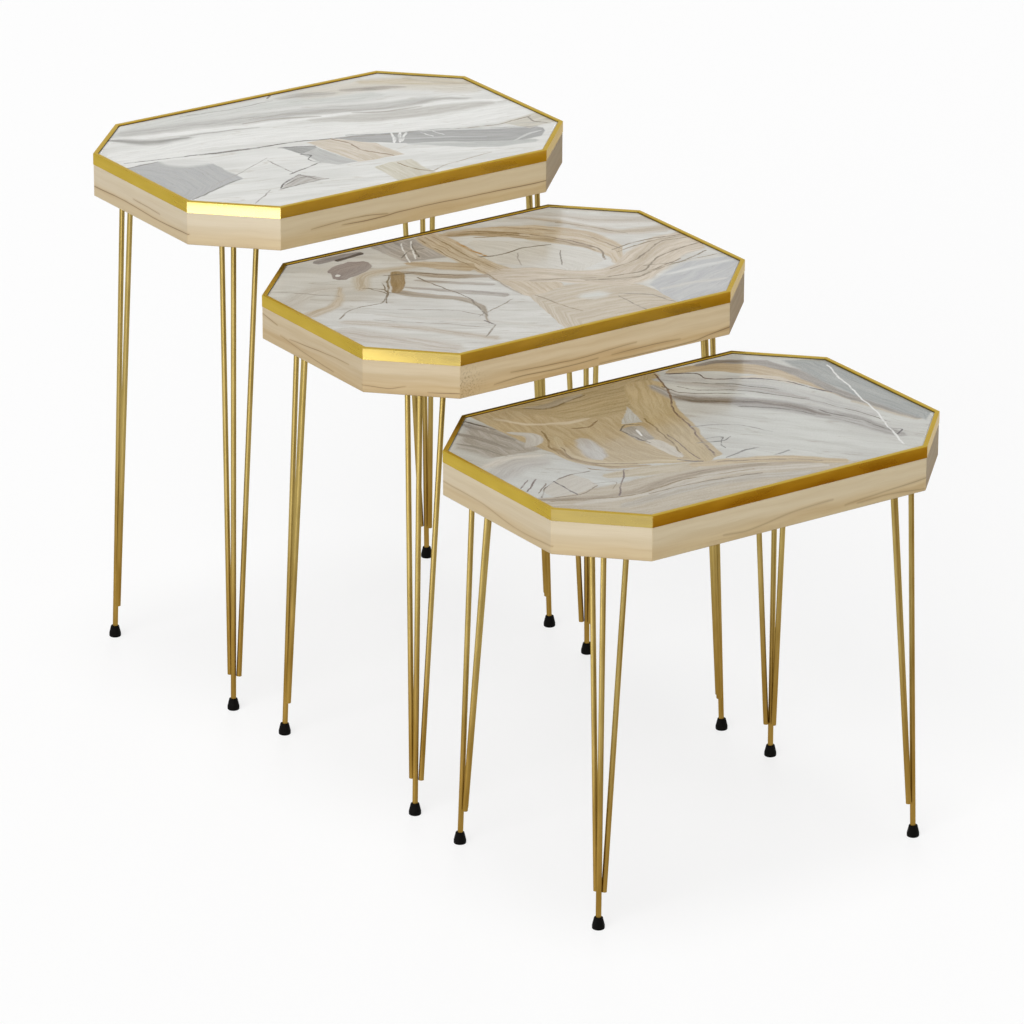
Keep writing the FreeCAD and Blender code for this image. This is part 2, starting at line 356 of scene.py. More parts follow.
def band(colour, shade, blur, *path):
    """Broad streak with grain along it that runs from colour to shade."""
    return Feature("band", under_gloss(colour), under_gloss(shade), blur, path)


def patch(colour, shade, blur, *corners):
    return Feature("patch", under_gloss(colour), under_gloss(shade), blur, corners)


def vein(colour, *path):
    """Thin line that is broken here and there."""
    return Feature("vein", under_gloss(colour), under_gloss(colour), VEIN_BLUR, path)


LARGE_MARBLE = [
    band("c6c7c2", "d4d5d0", 9, (-210, 140, 6), (-150, 148, 12), (-60, 146, 16), (40, 130, 18),
         (130, 100, 14)),
    band("e9e9e5", "dededa", 9, (-239, 74, 16), (-99, 58, 20), (51, 8, 20), (140, -20, 22),
         (238, -34, 24)),
    band("b2b1ac", "c8c7c2", 7, (-186, 142, 8), (-99, 124, 12), (-39, 108, 13), (31, 94, 12),
         (121, 64, 10), (176, 54, 5)),
    band("ecece9", "e0e0dc", 2.5, (-214, 133, 4), (-149, 114, 6), (-49, 86, 5.5), (31, 72, 4.5),
         (121, 46, 4), (191, 34, 5), (238, 6, 4)),
    band("bab7b0", "cac8c2", 4, (16, 66, 3), (62, 44, 12), (110, 28, 15), (181, 15, 12),
         (224, 3, 4)),
    band("a8a6a0", "bcbab4", 5, (-40, 106, 2), (26, 93, 6), (78, 68, 6), (130, 52, 5), (178, 49, 5),
         (210, 34, 2)),
    band("96948f", "b0afaa", 7, (-204, 126, 4), (-184, 106, 9), (-158, 93, 7), (-126, 88, 2)),
    band("8a8883", "9e9d97", 2.5, (-210, 131, 2.5), (-186, 109, 4), (-159, 96, 4), (-128, 89, 1.2)),
    band("a8a6a1", "b8b6b1", 2, (-134, 97, 1.5), (-90, 88, 2), (-46, 76, 1)),
    band("a09c95", "b8b5ae", 2, (-54, 98, 1.2), (-12, 92, 2.4), (34, 72, 1.2)),
    band("a6a29b", "bab7b0", 2, (70, 60, 1), (104, 46, 2.4), (150, 40, 1)),
    band("c8c2b4", "d6d1c5", 12, (60, 150, 14), (130, 140, 20), (190, 114, 26), (240, 66, 20)),
    band("c0b49b", "d0c6b1", 7, (140, 150, 6), (190, 120, 11), (238, 84, 9)),
    band("928c82", "b4ada1", 4, (104, 138, 2), (138, 123, 6), (172, 107, 2)),
    band("a29e95", "bcb9b1", 6, (28, 154, 3), (60, 148, 9), (92, 136, 3)),
    band("b2a894", "c8bfac", 3, (190, 134, 2), (212, 104, 3.4), (240, 76, 2)),
    patch("acadac", "b3b3b1", 1.5, (-246, 37), (-246, -93), (-232, -91), (-156, -63), (-155, 0),
          (-196, 30), (-202, 37)),
    band("dcdcd8", "d2d2ce", 7, (-196, 28, 8), (-178, 16, 13), (-160, 6, 6)),
    patch("92928f", "a4a5a1", 1.2, (-63, 4), (-57, -28), (-48, -36), (-29, -25), (-29, -14)),
    patch("b2b2ae", "bebeba", 1.2, (-57, -28), (-54, -63), (-42, -80), (-20, -85), (-29, -18)),
    patch("c4b8a4", "d6ccbd", 1, (-29, 3), (-20, -86), (38, -92), (34, -42), (2, 1)),
    band("b2b4b0", "c0c1bd", 3, (64, -62, 3), (111, -94, 11), (151, -119, 12), (188, -132, 5)),
    patch("9a9a98", "a8a8a5", 1.6, (6, -1), (23, -29), (58, -58), (176, -123), (203, -123),
          (218, -108), (218, -94), (111, -43), (61, -18)),
    band("cccdc9", "bebfbb", 2, (66, -64, 1), (98, -82, 3), (126, -100, 1)),
    band("babbb8", "acadaa", 1.5, (62, -42, 1), (96, -60, 2.4), (150, -90, 1)),
    band("cecfcc", "bebfbc", 1.2, (168, -119, 0.8), (190, -111, 2), (214, -106, 0.8)),
    patch("aca8a1", "bebbb4", 1, (-139, -116), (-77, -116), (-97, -86)),
    patch("c4beab", "d2cdbd", 2, (-14, -110), (-17, -166), (32, -166), (36, -110)),
    patch("c0bbac", "d0cbbe", 3, (188, -58), (208, -92), (246, -92), (246, -52)),
    band("b0aca0", "c4c0b4", 2, (196, -66, 1), (216, -76, 3), (236, -92, 1.4)),
    vein("706c66", (-236, 54, 0.8), (-194, 43, 1), (-154, 35, 1.5), (-99, 20, 1.7), (-39, 12, 1.5),
         (1, 0, 0.9)),
    vein("7c7872", (-154, 34, 1.2), (-120, 24, 2.2), (-84, 15, 1)),
    vein("96928b", (-20, 6, 1), (40, -16, 1.2), (90, -34, 0.8)),
    vein("8c7862", (1, -2, 0.9), (11, -28, 1.4), (8, -48, 1.2), (18, -73, 1.4), (26, -90, 0.9)),
    vein("6e6c6a", (-65, 5, 0.8), (-28, -13, 1)),
    vein("72706e", (-58, -28, 1.2), (-50, -38, 1.6), (-60, -46, 1), (-55, -64, 0.8)),
    vein("6c6662", (-104, -80, 0.9), (-82, -73, 1.2), (-58, -63, 0.8)),
    vein("a09b96", (-99, -26, 0.6), (-99, -78, 0.8)),
    vein("aca8a3", (-189, -63, 0.6), (-140, -40, 0.7), (-96, -19, 0.6)),
    vein("78736e", (-140, -116, 1), (-76, -116, 1)),
    vein("726c68", (-138, -113, 0.8), (-118, -98, 1.3), (-96, -88, 0.9)),
    vein("7c7670", (-98, -87, 0.9), (-88, -116, 1)),
    vein("86807a", (-128, -108, 0.6), (-104, -98, 0.9), (-84, -102, 0.6)),
    vein("a6a29d", (-150, -112, 0.6), (-188, -142, 0.7)),
    vein("8e7e62", (17, -112, 1), (21, -143, 1.4), (33, -158, 0.9)),
    vein("b2a89a", (33, -158, 0.9), (71, -146, 0.9), (126, -139, 0.7)),
    vein("8e8476", (146, -55, 0.7), (190, -61, 1), (233, -58, 0.9)),
    vein("867e72", (228, -60, 0.9), (226, -76, 1.2), (234, -90, 0.8)),
    vein("8c8c89", (21, -2, 0.8), (71, -24, 1.1), (131, -48, 0.8), (220, -93, 0.6)),
    vein("88847f", (-160, -62, 0.8), (-240, -92, 0.7)),
    vein("8c8883", (-202, 37, 0.6), (-246, 38, 0.8)),
    vein("e8e8e5", (52, -52, 1), (60, -40, 2), (70, -22, 1)),
    vein("e8e8e5", (58, -54, 1), (68, -40, 2), (80, -26, 1)),
    vein("e6e6e3", (62, -52, 0.8), (74, -40, 1.4), (84, -30, 0.8)),
    vein("dededb", (96, -40, 0.5), (101, -58, 0.7)),
    vein("dededb", (110, -44, 0.5), (114, -60, 0.7)),
    vein("928c86", (20, 160, 1.2), (27, 168, 1)),
    vein("96928c", (-100, 160, 0.6), (-40, 150, 0.8), (20, 150, 0.6)),
]

MEDIUM_MARBLE = [
    band("c4bfb6", "d2cfc8", 8, (-244, 60, 10), (-190, 84, 12), (-150, 70, 8)),
    band("b6ada0", "cac4ba", 9, (-243, -40, 14), (-204, -96, 18), (-166, -150, 14)),
    band("b4aa9a", "cac3b8", 5, (-221, -16, 5), (-184, -53, 8), (-149, -98, 7), (-114, -150, 6)),
    band("c0bab0", "cfccc4", 3, (-179, -18, 2), (-134, -63, 3), (-84, -108, 3), (-49, -150, 2)),
    band("b4a68f", "cabfae", 4, (-241, 20, 8), (-199, 31, 6), (-164, 74, 2)),
    band("b8ac98", "cac1b2", 7, (-150, 60, 8), (-120, 92, 10), (-80, 90, 8), (-40, 84, 3)),
    band("b6aea1", "cac4ba", 7, (118, 164, 6), (150, 144, 10), (190, 104, 12), (243, 70, 12)),
    band("b0a38f", "c8bfb1", 5, (136, 150, 5), (166, 106, 9), (188, 60, 9), (243, 34, 10)),
    band("d6d4cd", "ccc8c0", 4, (128, 164, 3), (162, 130, 5), (186, 88, 5), (243, 52, 5)),
    band("938b89", "a09895", 1.2, (-150, 97, 8), (-134, 116, 14), (-106, 132, 11)),
    band("938b89", "a09895", 1.2, (-148, 124, 4), (-128, 130, 9), (-98, 126, 6)),
    band("968f8d", "a49d9a", 1.2, (-142, 99, 5), (-112, 112, 8), (-100, 122, 5)),
    band("e2e2de", "dcdcd8", 0.8, (-147, 108, 2.8), (-143, 110, 2.8)),
    band("948f8c", "a6a19d", 1.2, (-143, 158, 6), (-110, 160, 7), (-84, 156, 5)),
    band("625d59", "726d69", 1, (-122, 151, 3.4), (-84, 155, 3.4)),
    patch("a09b95", "bab5ad", 2, (-66, 166), (-60, 104), (-12, 92), (-12, 166)),
    patch("d4d1c8", "cac6bc", 2.5, (18, 72), (24, 44), (80, -28), (122, -12), (128, 20), (98, 78),
          (48, 118), (30, 118)),
    patch("cabfac", "b8ab96", 4, (-9, -44), (-38, -168), (122, -168), (112, -96), (84, -60)),
    band("cec0aa", "b8a88f", 2, (6, 166, 17), (3, 72, 16), (6, 22, 19), (16, -18, 26),
         (12, -56, 26)),
    band("b8a68a", "cec1ac", 3, (26, 158, 8), (51, 152, 13), (96, 122, 21), (126, 87, 26),
         (148, 47, 24), (150, 7, 20), (138, -20, 12)),
    band("9e8a6c", "b8a78c", 3, (28, 152, 5), (56, 142, 9), (92, 114, 7)),
    band("a69478", "beae96", 2, (84, 112, 4), (112, 82, 7), (136, 36, 6)),
    band("d4c8b6", "baac97", 4, (-9, 14, 12), (21, 0, 24), (51, -22, 26), (101, -62, 28),
         (151, -42, 36), (201, -15, 33), (244, -10, 28)),
    band("b4a58d", "cabeab", 3, (100, -50, 2), (150, -34, 7), (200, 0, 8), (244, 8, 5)),
    band("b6a891", "ccc1af", 3, (30, 4, 2), (70, -36, 6), (110, -68, 6), (150, -66, 3)),
    band("d0d1cc", "c8c4b9", 8, (36, -94, 5), (50, -98, 9), (62, -100, 5)),
    patch("b2b3b4", "c1c1bf", 3, (112, -168), (182, -168), (246, -104), (246, -76), (186, -62),
          (119, -100)),
    band("d4d4d0", "c4c5c4", 3, (150, -84, 2), (190, -84, 4), (240, -88, 2)),
    band("c4c2bd", "ceccc7", 3, (122, -120, 2), (160, -122, 4), (200, -130, 2)),
    band("968a77", "aca190", 1.8, (-120, 32, 6), (-99, -3, 8), (-77, -28, 6), (-74, -68, 3.4),
         (-94, -108, 1)),
    band("907c5f", "a49175", 1, (-86, 82, 7), (-104, 54, 8), (-122, 29, 5)),
    band("ae9c81", "c4b59e", 3, (-62, 100, 5), (-36, 74, 12), (-10, 50, 12)),
    band("9a8e7d", "b6ac9e", 2, (-82, 78, 3), (-49, 42, 6), (-12, 17, 4)),
    band("deddd7", "ceccc4", 1.6, (-84, 62, 1.5), (-50, 30, 3.4), (-14, -2, 2.4)),
    band("a29b91", "bcb6ad", 2, (-84, 50, 2), (-54, 22, 4.4), (-22, -8, 3)),
    band("9e978e", "b8b2a9", 2, (-106, 37, 2), (-66, -4, 5.5), (-28, -43, 6)),
    band("dcdbd5", "ceccc5", 1.4, (-96, 36, 1), (-56, -2, 2.2), (-18, -38, 1.6)),
    vein("96856a", (-8, 160, 1), (-10, 100, 1), (-9, 30, 0.9), (-14, -50, 0.7)),
    vein("9a886c", (11, 158, 0.9), (8, 90, 1.2), (10, 26, 0.9)),
    vein("a08e72", (2, 162, 0.6), (0, 100, 0.8), (2, 50, 0.6)),
    vein("b08a54", (22, 128, 1.4), (20, 100, 1.9), (24, 70, 1.4)),
    vein("746c60", (16, 74, 1.2), (34, 67, 1.4), (71, 70, 1.4), (104, 65, 1)),
    vein("948266", (46, 130, 1), (86, 114, 1.3), (120, 70, 1.2), (134, 22, 1)),
    vein("8c7a5e", (36, 150, 0.8), (70, 132, 1.1), (100, 100, 0.8)),
    vein("887a66", (122, 54, 1), (140, 26, 1.4), (124, -10, 1.2)),
    vein("aaa59c", (58, 60, 0.6), (38, 27, 0.6)),
    vein("888075", (101, 42, 0.6), (78, 2, 0.7)),
    vein("7e6c50", (60, 148, 0.7), (104, 106, 1.2), (128, 66, 1.1), (140, 30, 0.7)),
    vein("96866e", (96, 138, 0.7), (132, 104, 1.1), (156, 56, 1.1), (160, 10, 0.8)),
    vein("8a7c66", (150, 4, 0.8), (196, 12, 1.2), (242, 6, 0.8)),
    vein("867862", (112, -40, 0.8), (160, -26, 1.3), (210, 4, 1), (242, -2, 0.7)),
    vein("8c7e68", (60, -40, 0.7), (104, -74, 1.1), (150, -66, 1), (196, -50, 0.8)),
    vein("847a6a", (-221, -6, 0.8), (-184, 12, 1), (-149, 15, 1.2), (-99, 77, 0.9)),
    vein("746a5c", (-147, 60, 0.8), (-129, 42, 1.1), (-149, 7, 0.8)),
    vein("766c5d", (-118, 62, 0.8), (-130, 36, 1), (-112, 20, 0.7)),
    vein("786e5f", (-142, 56, 0.7), (-134, 34, 1), (-140, 22, 0.7)),
    vein("7c7263", (-77, 57, 1), (-72, 12, 1.1), (-69, -28, 1), (-82, -88, 1.1)),
    vein("706454", (-104, 80, 0.7), (-70, 66, 1), (-40, 40, 0.8), (-10, 22, 0.6)),
    vein("645a4e", (-94, -98, 0.8), (-92, -116, 1.1)),
    vein("92897c", (-92, -84, 0.7), (-30, -56, 0.7)),
    vein("8a8072", (-92, -116, 0.8), (-120, -140, 0.7)),
    vein("b0a99e", (-12, 16, 1), (-14, -48, 1.2)),
    vein("928878", (71, -112, 1), (71, -164, 1)),
    vein("8e8679", (76, -106, 1), (101, -128, 1.3), (111, -162, 1)),
    vein("968872", (-4, -60, 1), (4, -104, 1.1), (10, -130, 0.8)),
    vein("847865", (150, -50, 1), (190, -58, 1.4), (236, -46, 1)),
    vein("867a66", (96, -58, 0.9), (140, -62, 1.2), (180, -34, 1.2), (242, -22, 1)),
    vein("928672", (70, -52, 0.8), (120, -74, 1.1), (176, -60, 0.9), (238, -62, 0.7)),
    vein("887c69", (150, 14, 1), (190, 20, 1.3), (242, 10, 1)),
    vein("968975", (20, -20, 0.8), (52, -34, 1.2), (84, -52, 0.8)),
    vein("988c79", (150, 120, 0.7), (176, 84, 1), (196, 46, 0.7)),
    vein("e4e3de", (-58, 102, 0.9), (-30, 160, 0.9)),
    vein("e4e3de", (-46, 106, 0.8), (-18, 160, 0.8)),
    vein("6e6a65", (-40, 110, 0.8), (-22, 150, 0.9)),
    vein("726e69", (-56, 120, 0.7), (-36, 132, 1), (-20, 128, 0.7)),
    vein("a29e96", (-234, 104, 0.6), (-180, 54, 0.7)),
    vein("a6a096", (-190, -30, 0.7), (-130, -86, 0.8), (-100, -120, 0.6)),
    vein("968f84", (-150, -14, 0.6), (-100, -56, 0.9), (-84, -90, 0.6)),
]

SMALL_MARBLE = [
    patch("9c978e", "b2aea7", 10, (-179, 157), (-234, 97), (-219, 57), (-159, 47), (-142, 82)),
    band("b2afa9", "c0bdb7", 7, (-240, 10, 12), (-206, 26, 18), (-178, 20, 12)),
    band("88837c", "a09b93", 3, (-210, 138, 2), (-196, 104, 4), (-186, 66, 2)),
    band("8a857e", "a49f97", 2.5, (-190, 156, 2), (-176, 116, 3.4), (-168, 84, 1.6)),
    band("8c8880", "a8a39b", 2, (-224, 110, 1), (-212, 84, 2.4), (-200, 52, 1)),
    band("d8d4cc", "c8c4bb", 5, (-236, 40, 5), (-196, 46, 5), (-172, 36, 3)),
    patch("beb4a2", "b0a592", 4, (-246, -66), (-246, -100), (-178, -168), (104, -168), (-40, -84)),
    patch("bead8d", "ac9a79", 1.6, (-170, 168), (-162, 60), (-154, 2), (-129, -33), (-49, -68),
          (-14, -68), (31, 72), (58, 168)),
    patch("a49371", "b6a584", 7, (-130, 172), (-84, 92), (10, 84), (46, 104), (74, 172)),
    band("c6c3bc", "b6b2aa", 2, (-160, 108, 3), (-146, 84, 8), (-160, 62, 10)),
    band("c0ae8b", "ae9c78", 1.4, (44, 152, 18), (26, 116, 24), (8, 78, 22), (-8, 30, 17),
         (-30, -40, 15), (-40, -72, 10)),
    band("c8b99b", "b6a687", 2, (-132, 64, 5), (-146, 30, 8), (-140, -8, 8), (-108, -36, 7),
         (-60, -58, 4)),
    band("c2c0bb", "b2aea7", 4, (-110, 48, 7), (-116, 20, 12), (-124, -8, 7)),
    patch("c6c6c1", "b2afa5", 1.4, (-14, 100), (-50, 60), (-27, 52)),
    band("98938a", "b0aba1", 1.6, (-46, 46, 12), (-49, 28, 12), (-52, 8, 7)),
    band("cec8bc", "bab2a3", 2, (-51, 4, 7), (-51, -22, 8), (-52, -48, 4)),
    band("9e927c", "b4a892", 2, (-106, 156, 4), (-88, 148, 7), (-34, 157, 4)),
    band("cec0a8", "bead91", 2, (-152, 148, 2), (-132, 118, 3), (-98, 96, 4), (-70, 92, 3)),
    band("968262", "b2a082", 1.5, (-150, 44, 3), (-148, 4, 4), (-128, -34, 4), (-96, -54, 3)),
    band("c6c1b7", "bcb6aa", 1, (-226, -58, 9), (-196, -54, 20), (-172, -48, 18)),
    band("b0a48c", "c2b7a2", 3, (-150, -50, 6), (-100, -66, 13), (-54, -76, 9)),
    band("90826d", "aea28f", 2.5, (-241, -68, 4), (-174, -102, 7), (-84, -98, 7), (-9, -110, 6),
         (78, -150, 5)),
    band("c6bfb2", "b6ad9e", 3, (-219, -98, 4), (-124, -116, 6), (-39, -112, 6), (60, -152, 6)),
    band("a8a092", "bcb6aa", 4, (-180, -128, 5), (-90, -128, 8), (-24, -138, 8), (36, -162, 6)),
    band("c4b395", "ae9c7d", 3, (-56, -74, 6), (-10, -92, 8), (36, -116, 9), (84, -154, 6)),
    band("b0aea9", "c2c1bc", 6, (70, 150, 8), (100, 110, 16), (140, 60, 16), (168, 0, 14),
         (186, -60, 10)),
    band("908c87", "aeaca7", 5, (42, 134, 5), (48, 92, 10), (80, 58, 14), (118, 18, 16),
         (146, -28, 14), (166, -78, 11), (178, -126, 7)),
    band("706860", "928b83", 2.5, (44, 96, 3), (60, 72, 8), (92, 48, 6), (128, 10, 6),
         (150, -40, 3)),
    band("c8c6c1", "b2afaa", 1.6, (52, 122, 2), (56, 98, 3), (76, 78, 2.5), (104, 60, 1.5)),
    band("aeada8", "c0c0bb", 4, (60, 150, 5), (92, 116, 9), (130, 74, 9), (160, 30, 7),
         (180, -30, 6)),
    band("a09c96", "b6b3ad", 2, (74, 132, 2), (104, 98, 4), (136, 60, 4), (160, 14, 2)),
    band("b09e81", "c0b095", 2, (86, 163, 6), (131, 148, 16), (164, 118, 18), (182, 78, 11),
         (191, 34, 5), (202, -20, 3)),
    band("cec5b5", "c4b8a4", 3, (140, 104, 2), (164, 86, 6), (178, 54, 3)),
    band("c0b8a8", "b6ac9a", 2, (196, -20, 3), (208, -62, 5), (222, -100, 4)),
    band("8a857e", "a09b94", 2.5, (148, 156, 5), (184, 126, 9), (198, 76, 9), (198, 24, 7),
         (208, -36, 7), (224, -98, 4)),
    patch("949896", "a2a4a0", 3, (206, 120), (204, 44), (210, -40), (226, -106), (246, -92),
          (246, 100)),
    band("acafac", "9ea09c", 3, (216, 60, 3), (226, 10, 5), (236, -50, 3)),
    band("80786e", "989188", 2, (120, 160, 3), (150, 154, 5), (176, 138, 3)),
    vein("746246", (68, 166, 0.9), (52, 118, 1.2), (24, 70, 1.2), (6, 12, 1.2), (-22, -66, 0.9)),
    vein("7c6a4e", (-26, 10, 0.8), (-40, -64, 0.9)),
    vein("8a7658", (-128, 90, 1.1), (-152, 44, 1.4), (-150, -26, 1.2), (-120, -52, 0.9)),
    vein("847256", (-110, 158, 0.9), (-88, 142, 1.4), (-30, 154, 1)),
    vein("68625b", (-184, 164, 0.9), (-168, 122, 1.3)),
    vein("867050", (-100, 78, 0.9), (-82, 72, 1.5), (-66, 82, 0.9)),
    vein("68625a", (-59, 46, 1.1), (-47, 56, 1.5), (-34, 48, 1)),
    vein("6e665c", (-59, 46, 0.9), (-58, 20, 1.1), (-55, 0, 0.7)),
    vein("e6e5e0", (-50, 22, 0.8), (-46, 32, 1.4), (-44, 38, 0.8)),
    vein("605040", (-60, -52, 1.1), (-50, -66, 2), (-40, -72, 0.9)),
    vein("706350", (-238, -64, 0.9), (-219, -43, 1), (-189, -31, 1.2), (-154, -29, 0.9)),
    vein("5e5040", (-202, -34, 0.8), (-201, -76, 1)),
    vein("6e5e4a", (-240, -42, 0.7), (-214, -18, 0.8)),
    vein("6e5e4a", (-240, -30, 0.7), (-222, -16, 0.7)),
    vein("746551", (-234, -52, 0.6), (-212, -34, 0.8)),
    vein("847764", (-228, -70, 0.8), (-196, -78, 1), (-170, -68, 0.8)),
    vein("6e5e4a", (-122, -46, 0.7), (-170, -102, 0.8)),
    vein("7c6e5a", (-170, -60, 0.6), (-150, -70, 0.9), (-164, -84, 0.6)),
    vein("8e7d63", (-236, -76, 0.9), (-160, -108, 1.3), (-80, -106, 1.1), (-10, -120, 0.9)),
    vein("847867", (-140, -116, 0.8), (-70, -122, 1.2), (-10, -134, 0.9)),
    vein("8c7e68", (-30, -82, 0.8), (20, -106, 1.1), (66, -140, 0.8)),
    vein("9c9a95", (6, 14, 1), (36, 2, 1.3), (56, -14, 1.2), (72, -44, 1)),
    vein("787773", (-6, -20, 1), (18, -28, 1.5), (6, -42, 1.2), (2, -54, 0.9)),
    vein("807f7b", (-14, -28, 0.9), (14, -38, 1.2), (26, -32, 0.8)),
    vein("868480", (-16, -78, 1), (14, -72, 1.8), (32, -74, 0.9)),
    vein("969591", (30, -100, 0.9), (52, -98, 1.4)),
    vein("62584e", (78, 160, 1.2), (106, 138, 1.4), (104, 124, 1.2), (141, 97, 1.5), (171, 66, 1.4),
         (182, 38, 1.3), (194, 16, 1)),
    vein("68635e", (46, 84, 0.9), (66, 64, 1.5), (94, 46, 1.3), (120, 22, 1.1)),
    vein("706b65", (84, 34, 0.8), (116, 6, 1.2), (138, -30, 0.9)),
    vein("746e67", (150, -20, 1), (168, -70, 1.3), (176, -112, 1)),
    vein("5c5751", (174, -122, 1), (188, -114, 1.2), (182, -106, 0.9)),
    vein("78736c", (86, 120, 0.7), (120, 92, 1), (150, 50, 0.7)),
    vein("746f68", (52, 128, 0.8), (58, 100, 1.2), (84, 82, 1), (112, 62, 0.7)),
    vein("7c7770", (66, 120, 0.7), (76, 100, 1), (110, 78, 1), (146, 30, 0.8)),
    vein("807b74", (120, 66, 0.7), (156, 14, 1), (178, -40, 0.9), (190, -90, 0.7)),
    vein("827052", (-142, 42, 0.8), (-148, 10, 1.2), (-132, -18, 1), (-100, -42, 0.8)),
    vein("8a785a", (-20, 60, 0.7), (-30, 10, 1), (-46, -40, 0.8)),
    # A painted glint: the thin pale straight streak below is drawn as a vein.
    vein("e4e4e1", (238, 84, 0.9), (204, -30, 1), (162, -150, 0.9)),
]

# Base colours, direction of the cloudy streaks in degrees from +X, share of speckle, and
# the features.
MARBLES = {
    "large": {"light": "e2e2de", "dark": "d3d3ce", "turn": -17, "grit": 0.04,
              "features": LARGE_MARBLE},
    "medium": {"light": "d5d4ce", "dark": "c4c1b9", "turn": -38, "grit": 0.06,
               "features": MEDIUM_MARBLE},
    "small": {"light": "cacbc5", "dark": "bdbcb6", "turn": -52, "grit": 0.08,
              "features": SMALL_MARBLE},
}

# How far every edge wanders, as (length of the waves, reach) in millimetres.
WANDER = ((55.0, 11.0), (14.0, 3.0), (4.0, 0.9))
CLOUD_LENGTH = 130            # size of the cloudy streaks between the features
CLOUD_WIDTH = 22
HAIR_STRETCH = (0.7, 1.3, 1.0)
HAIR_TINT = (0.66, 0.60, 0.52, 1.0)
HAIR_STRENGTH = 0.5
GRIT_DARK = srgb("5a5856")
GRIT_PALE = srgb("fafaf8")
RIPPLE_SIZE = 30              # millimetres, as the sizes of the speckle and the breaks
SPECKLE_SIZE = 1.6
BREAK_SIZE = 16               # of the places where veins and hair lines grow faint


def feature_sheet(name, groups, features):
    """Group that lays a run of features over the layers below."""
    tree, given = new_group(name, {**LAYER_SOCKETS, "Point": "Vector", "Broken": "Float"},
                            LAYER_SOCKETS)
    layers = [given[socket] for socket in LAYER_SOCKETS]
    for feature in features:
        strength = given["Broken"] if feature.kind == "vein" else 1.0
        layers = draw_feature(tree, groups, given["Point"], layers, feature, strength)
    return end_group(tree, *layers)


def draw_features(tree, table, groups, layers, point, broken):
    """Lays all the features of a table's marble over its base, sheet by sheet."""
    features = MARBLES[table.name]["features"]
    for first in range(0, len(features), SHEET_SIZE):
        sheet = feature_sheet(f"{table.name}_sheet_{first}", groups,
                              features[first:first + SHEET_SIZE])
        layers = tree.group(sheet, {"Colour": layers[0], "Shade": layers[1],
                                    "Flow": layers[2], "Point": point,
                                    "Broken": broken})[:3]
    return layers


def marble(table, groups):
    """Glossy marble-look laminate of one table."""
    design = MARBLES[table.name]
    tree = new_material(table.name + "_marble_look")
    place = tree.node("TexCoord").outputs["Object"]
    centred = tree.vector("SUBTRACT", place, (0.0, table.y, 0.0))
    flat = tree.vector("MULTIPLY", centred, (1 / MM, 1 / MM, 0.0))
    point = flat
    for size, amount in WANDER:
        push = tree.noise(point, 1 / size, 2.0)["Color"]
        moved = tree.vector("MULTIPLY_ADD", push, (amount, amount, 0.0), point)
        point = tree.vector("SUBTRACT", moved, (amount / 2, amount / 2, 0.0))
    ripple = tree.noise(flat, 1 / RIPPLE_SIZE, 2.0)["Fac"]
    speckle = tree.noise(point, 1 / SPECKLE_SIZE, 2.0, 0.7)["Fac"]
    breaks = tree.noise(point, 1 / BREAK_SIZE, 3.0, 0.6)["Fac"]
    broken = tree.remap(breaks, 0.32, 0.56, 0.35, 1.0)
    turn = math.radians(design["turn"])
    along = (math.cos(turn) / CLOUD_LENGTH, math.sin(turn) / CLOUD_LENGTH, 0.0)
    across = (-math.sin(turn) / CLOUD_WIDTH, math.cos(turn) / CLOUD_WIDTH, 0.0)
    drawn_out = tree.combine(tree.vector("DOT_PRODUCT", point, along),
                             tree.vector("DOT_PRODUCT", point, across))
    base = (under_gloss(design["light"]), under_gloss(design["dark"]), drawn_out)
    light, shade, flow = draw_features(tree, table, groups, base, point, broken)
    streaks = tree.noise(flow, 1.0, 4.0, 0.62, 0.4)["Fac"]
    colour = tree.mix(tree.remap(streaks, 0.34, 0.66), light, shade)
    # Hair lines run where a second lookup crosses its middle value.
    finer = tree.vector("MULTIPLY", flow, HAIR_STRETCH)
    level = tree.noise(finer, 1.0, 2.0, 0.5, 0.3)["Fac"]
    away = tree.math("ABSOLUTE", tree.math("SUBTRACT", level, 0.5))
    hair = tree.math("MULTIPLY", tree.remap(away, 0.014, 0.002), broken)
    colour = tree.tinted(tree.math("MULTIPLY", hair, HAIR_STRENGTH), colour, HAIR_TINT)
    grit = tree.mix(tree.remap(speckle, 0.3, 0.7), GRIT_DARK, GRIT_PALE)
    colour = tree.mix(design["grit"], colour, grit)
    return tree.surface(Base_Color=colour, Roughness=tree.remap(ripple, 0.3, 0.7, 0.12, 0.2),
                        IOR=1.46, Normal=tree.bump(ripple, 0.12, 0.0004))


# --- wood-look boards --------------------------------------------------------------------
# Grain lines, each (side, (along the side from its left end seen from outside, drop below
# the rim, half width), ...) in millimetres.

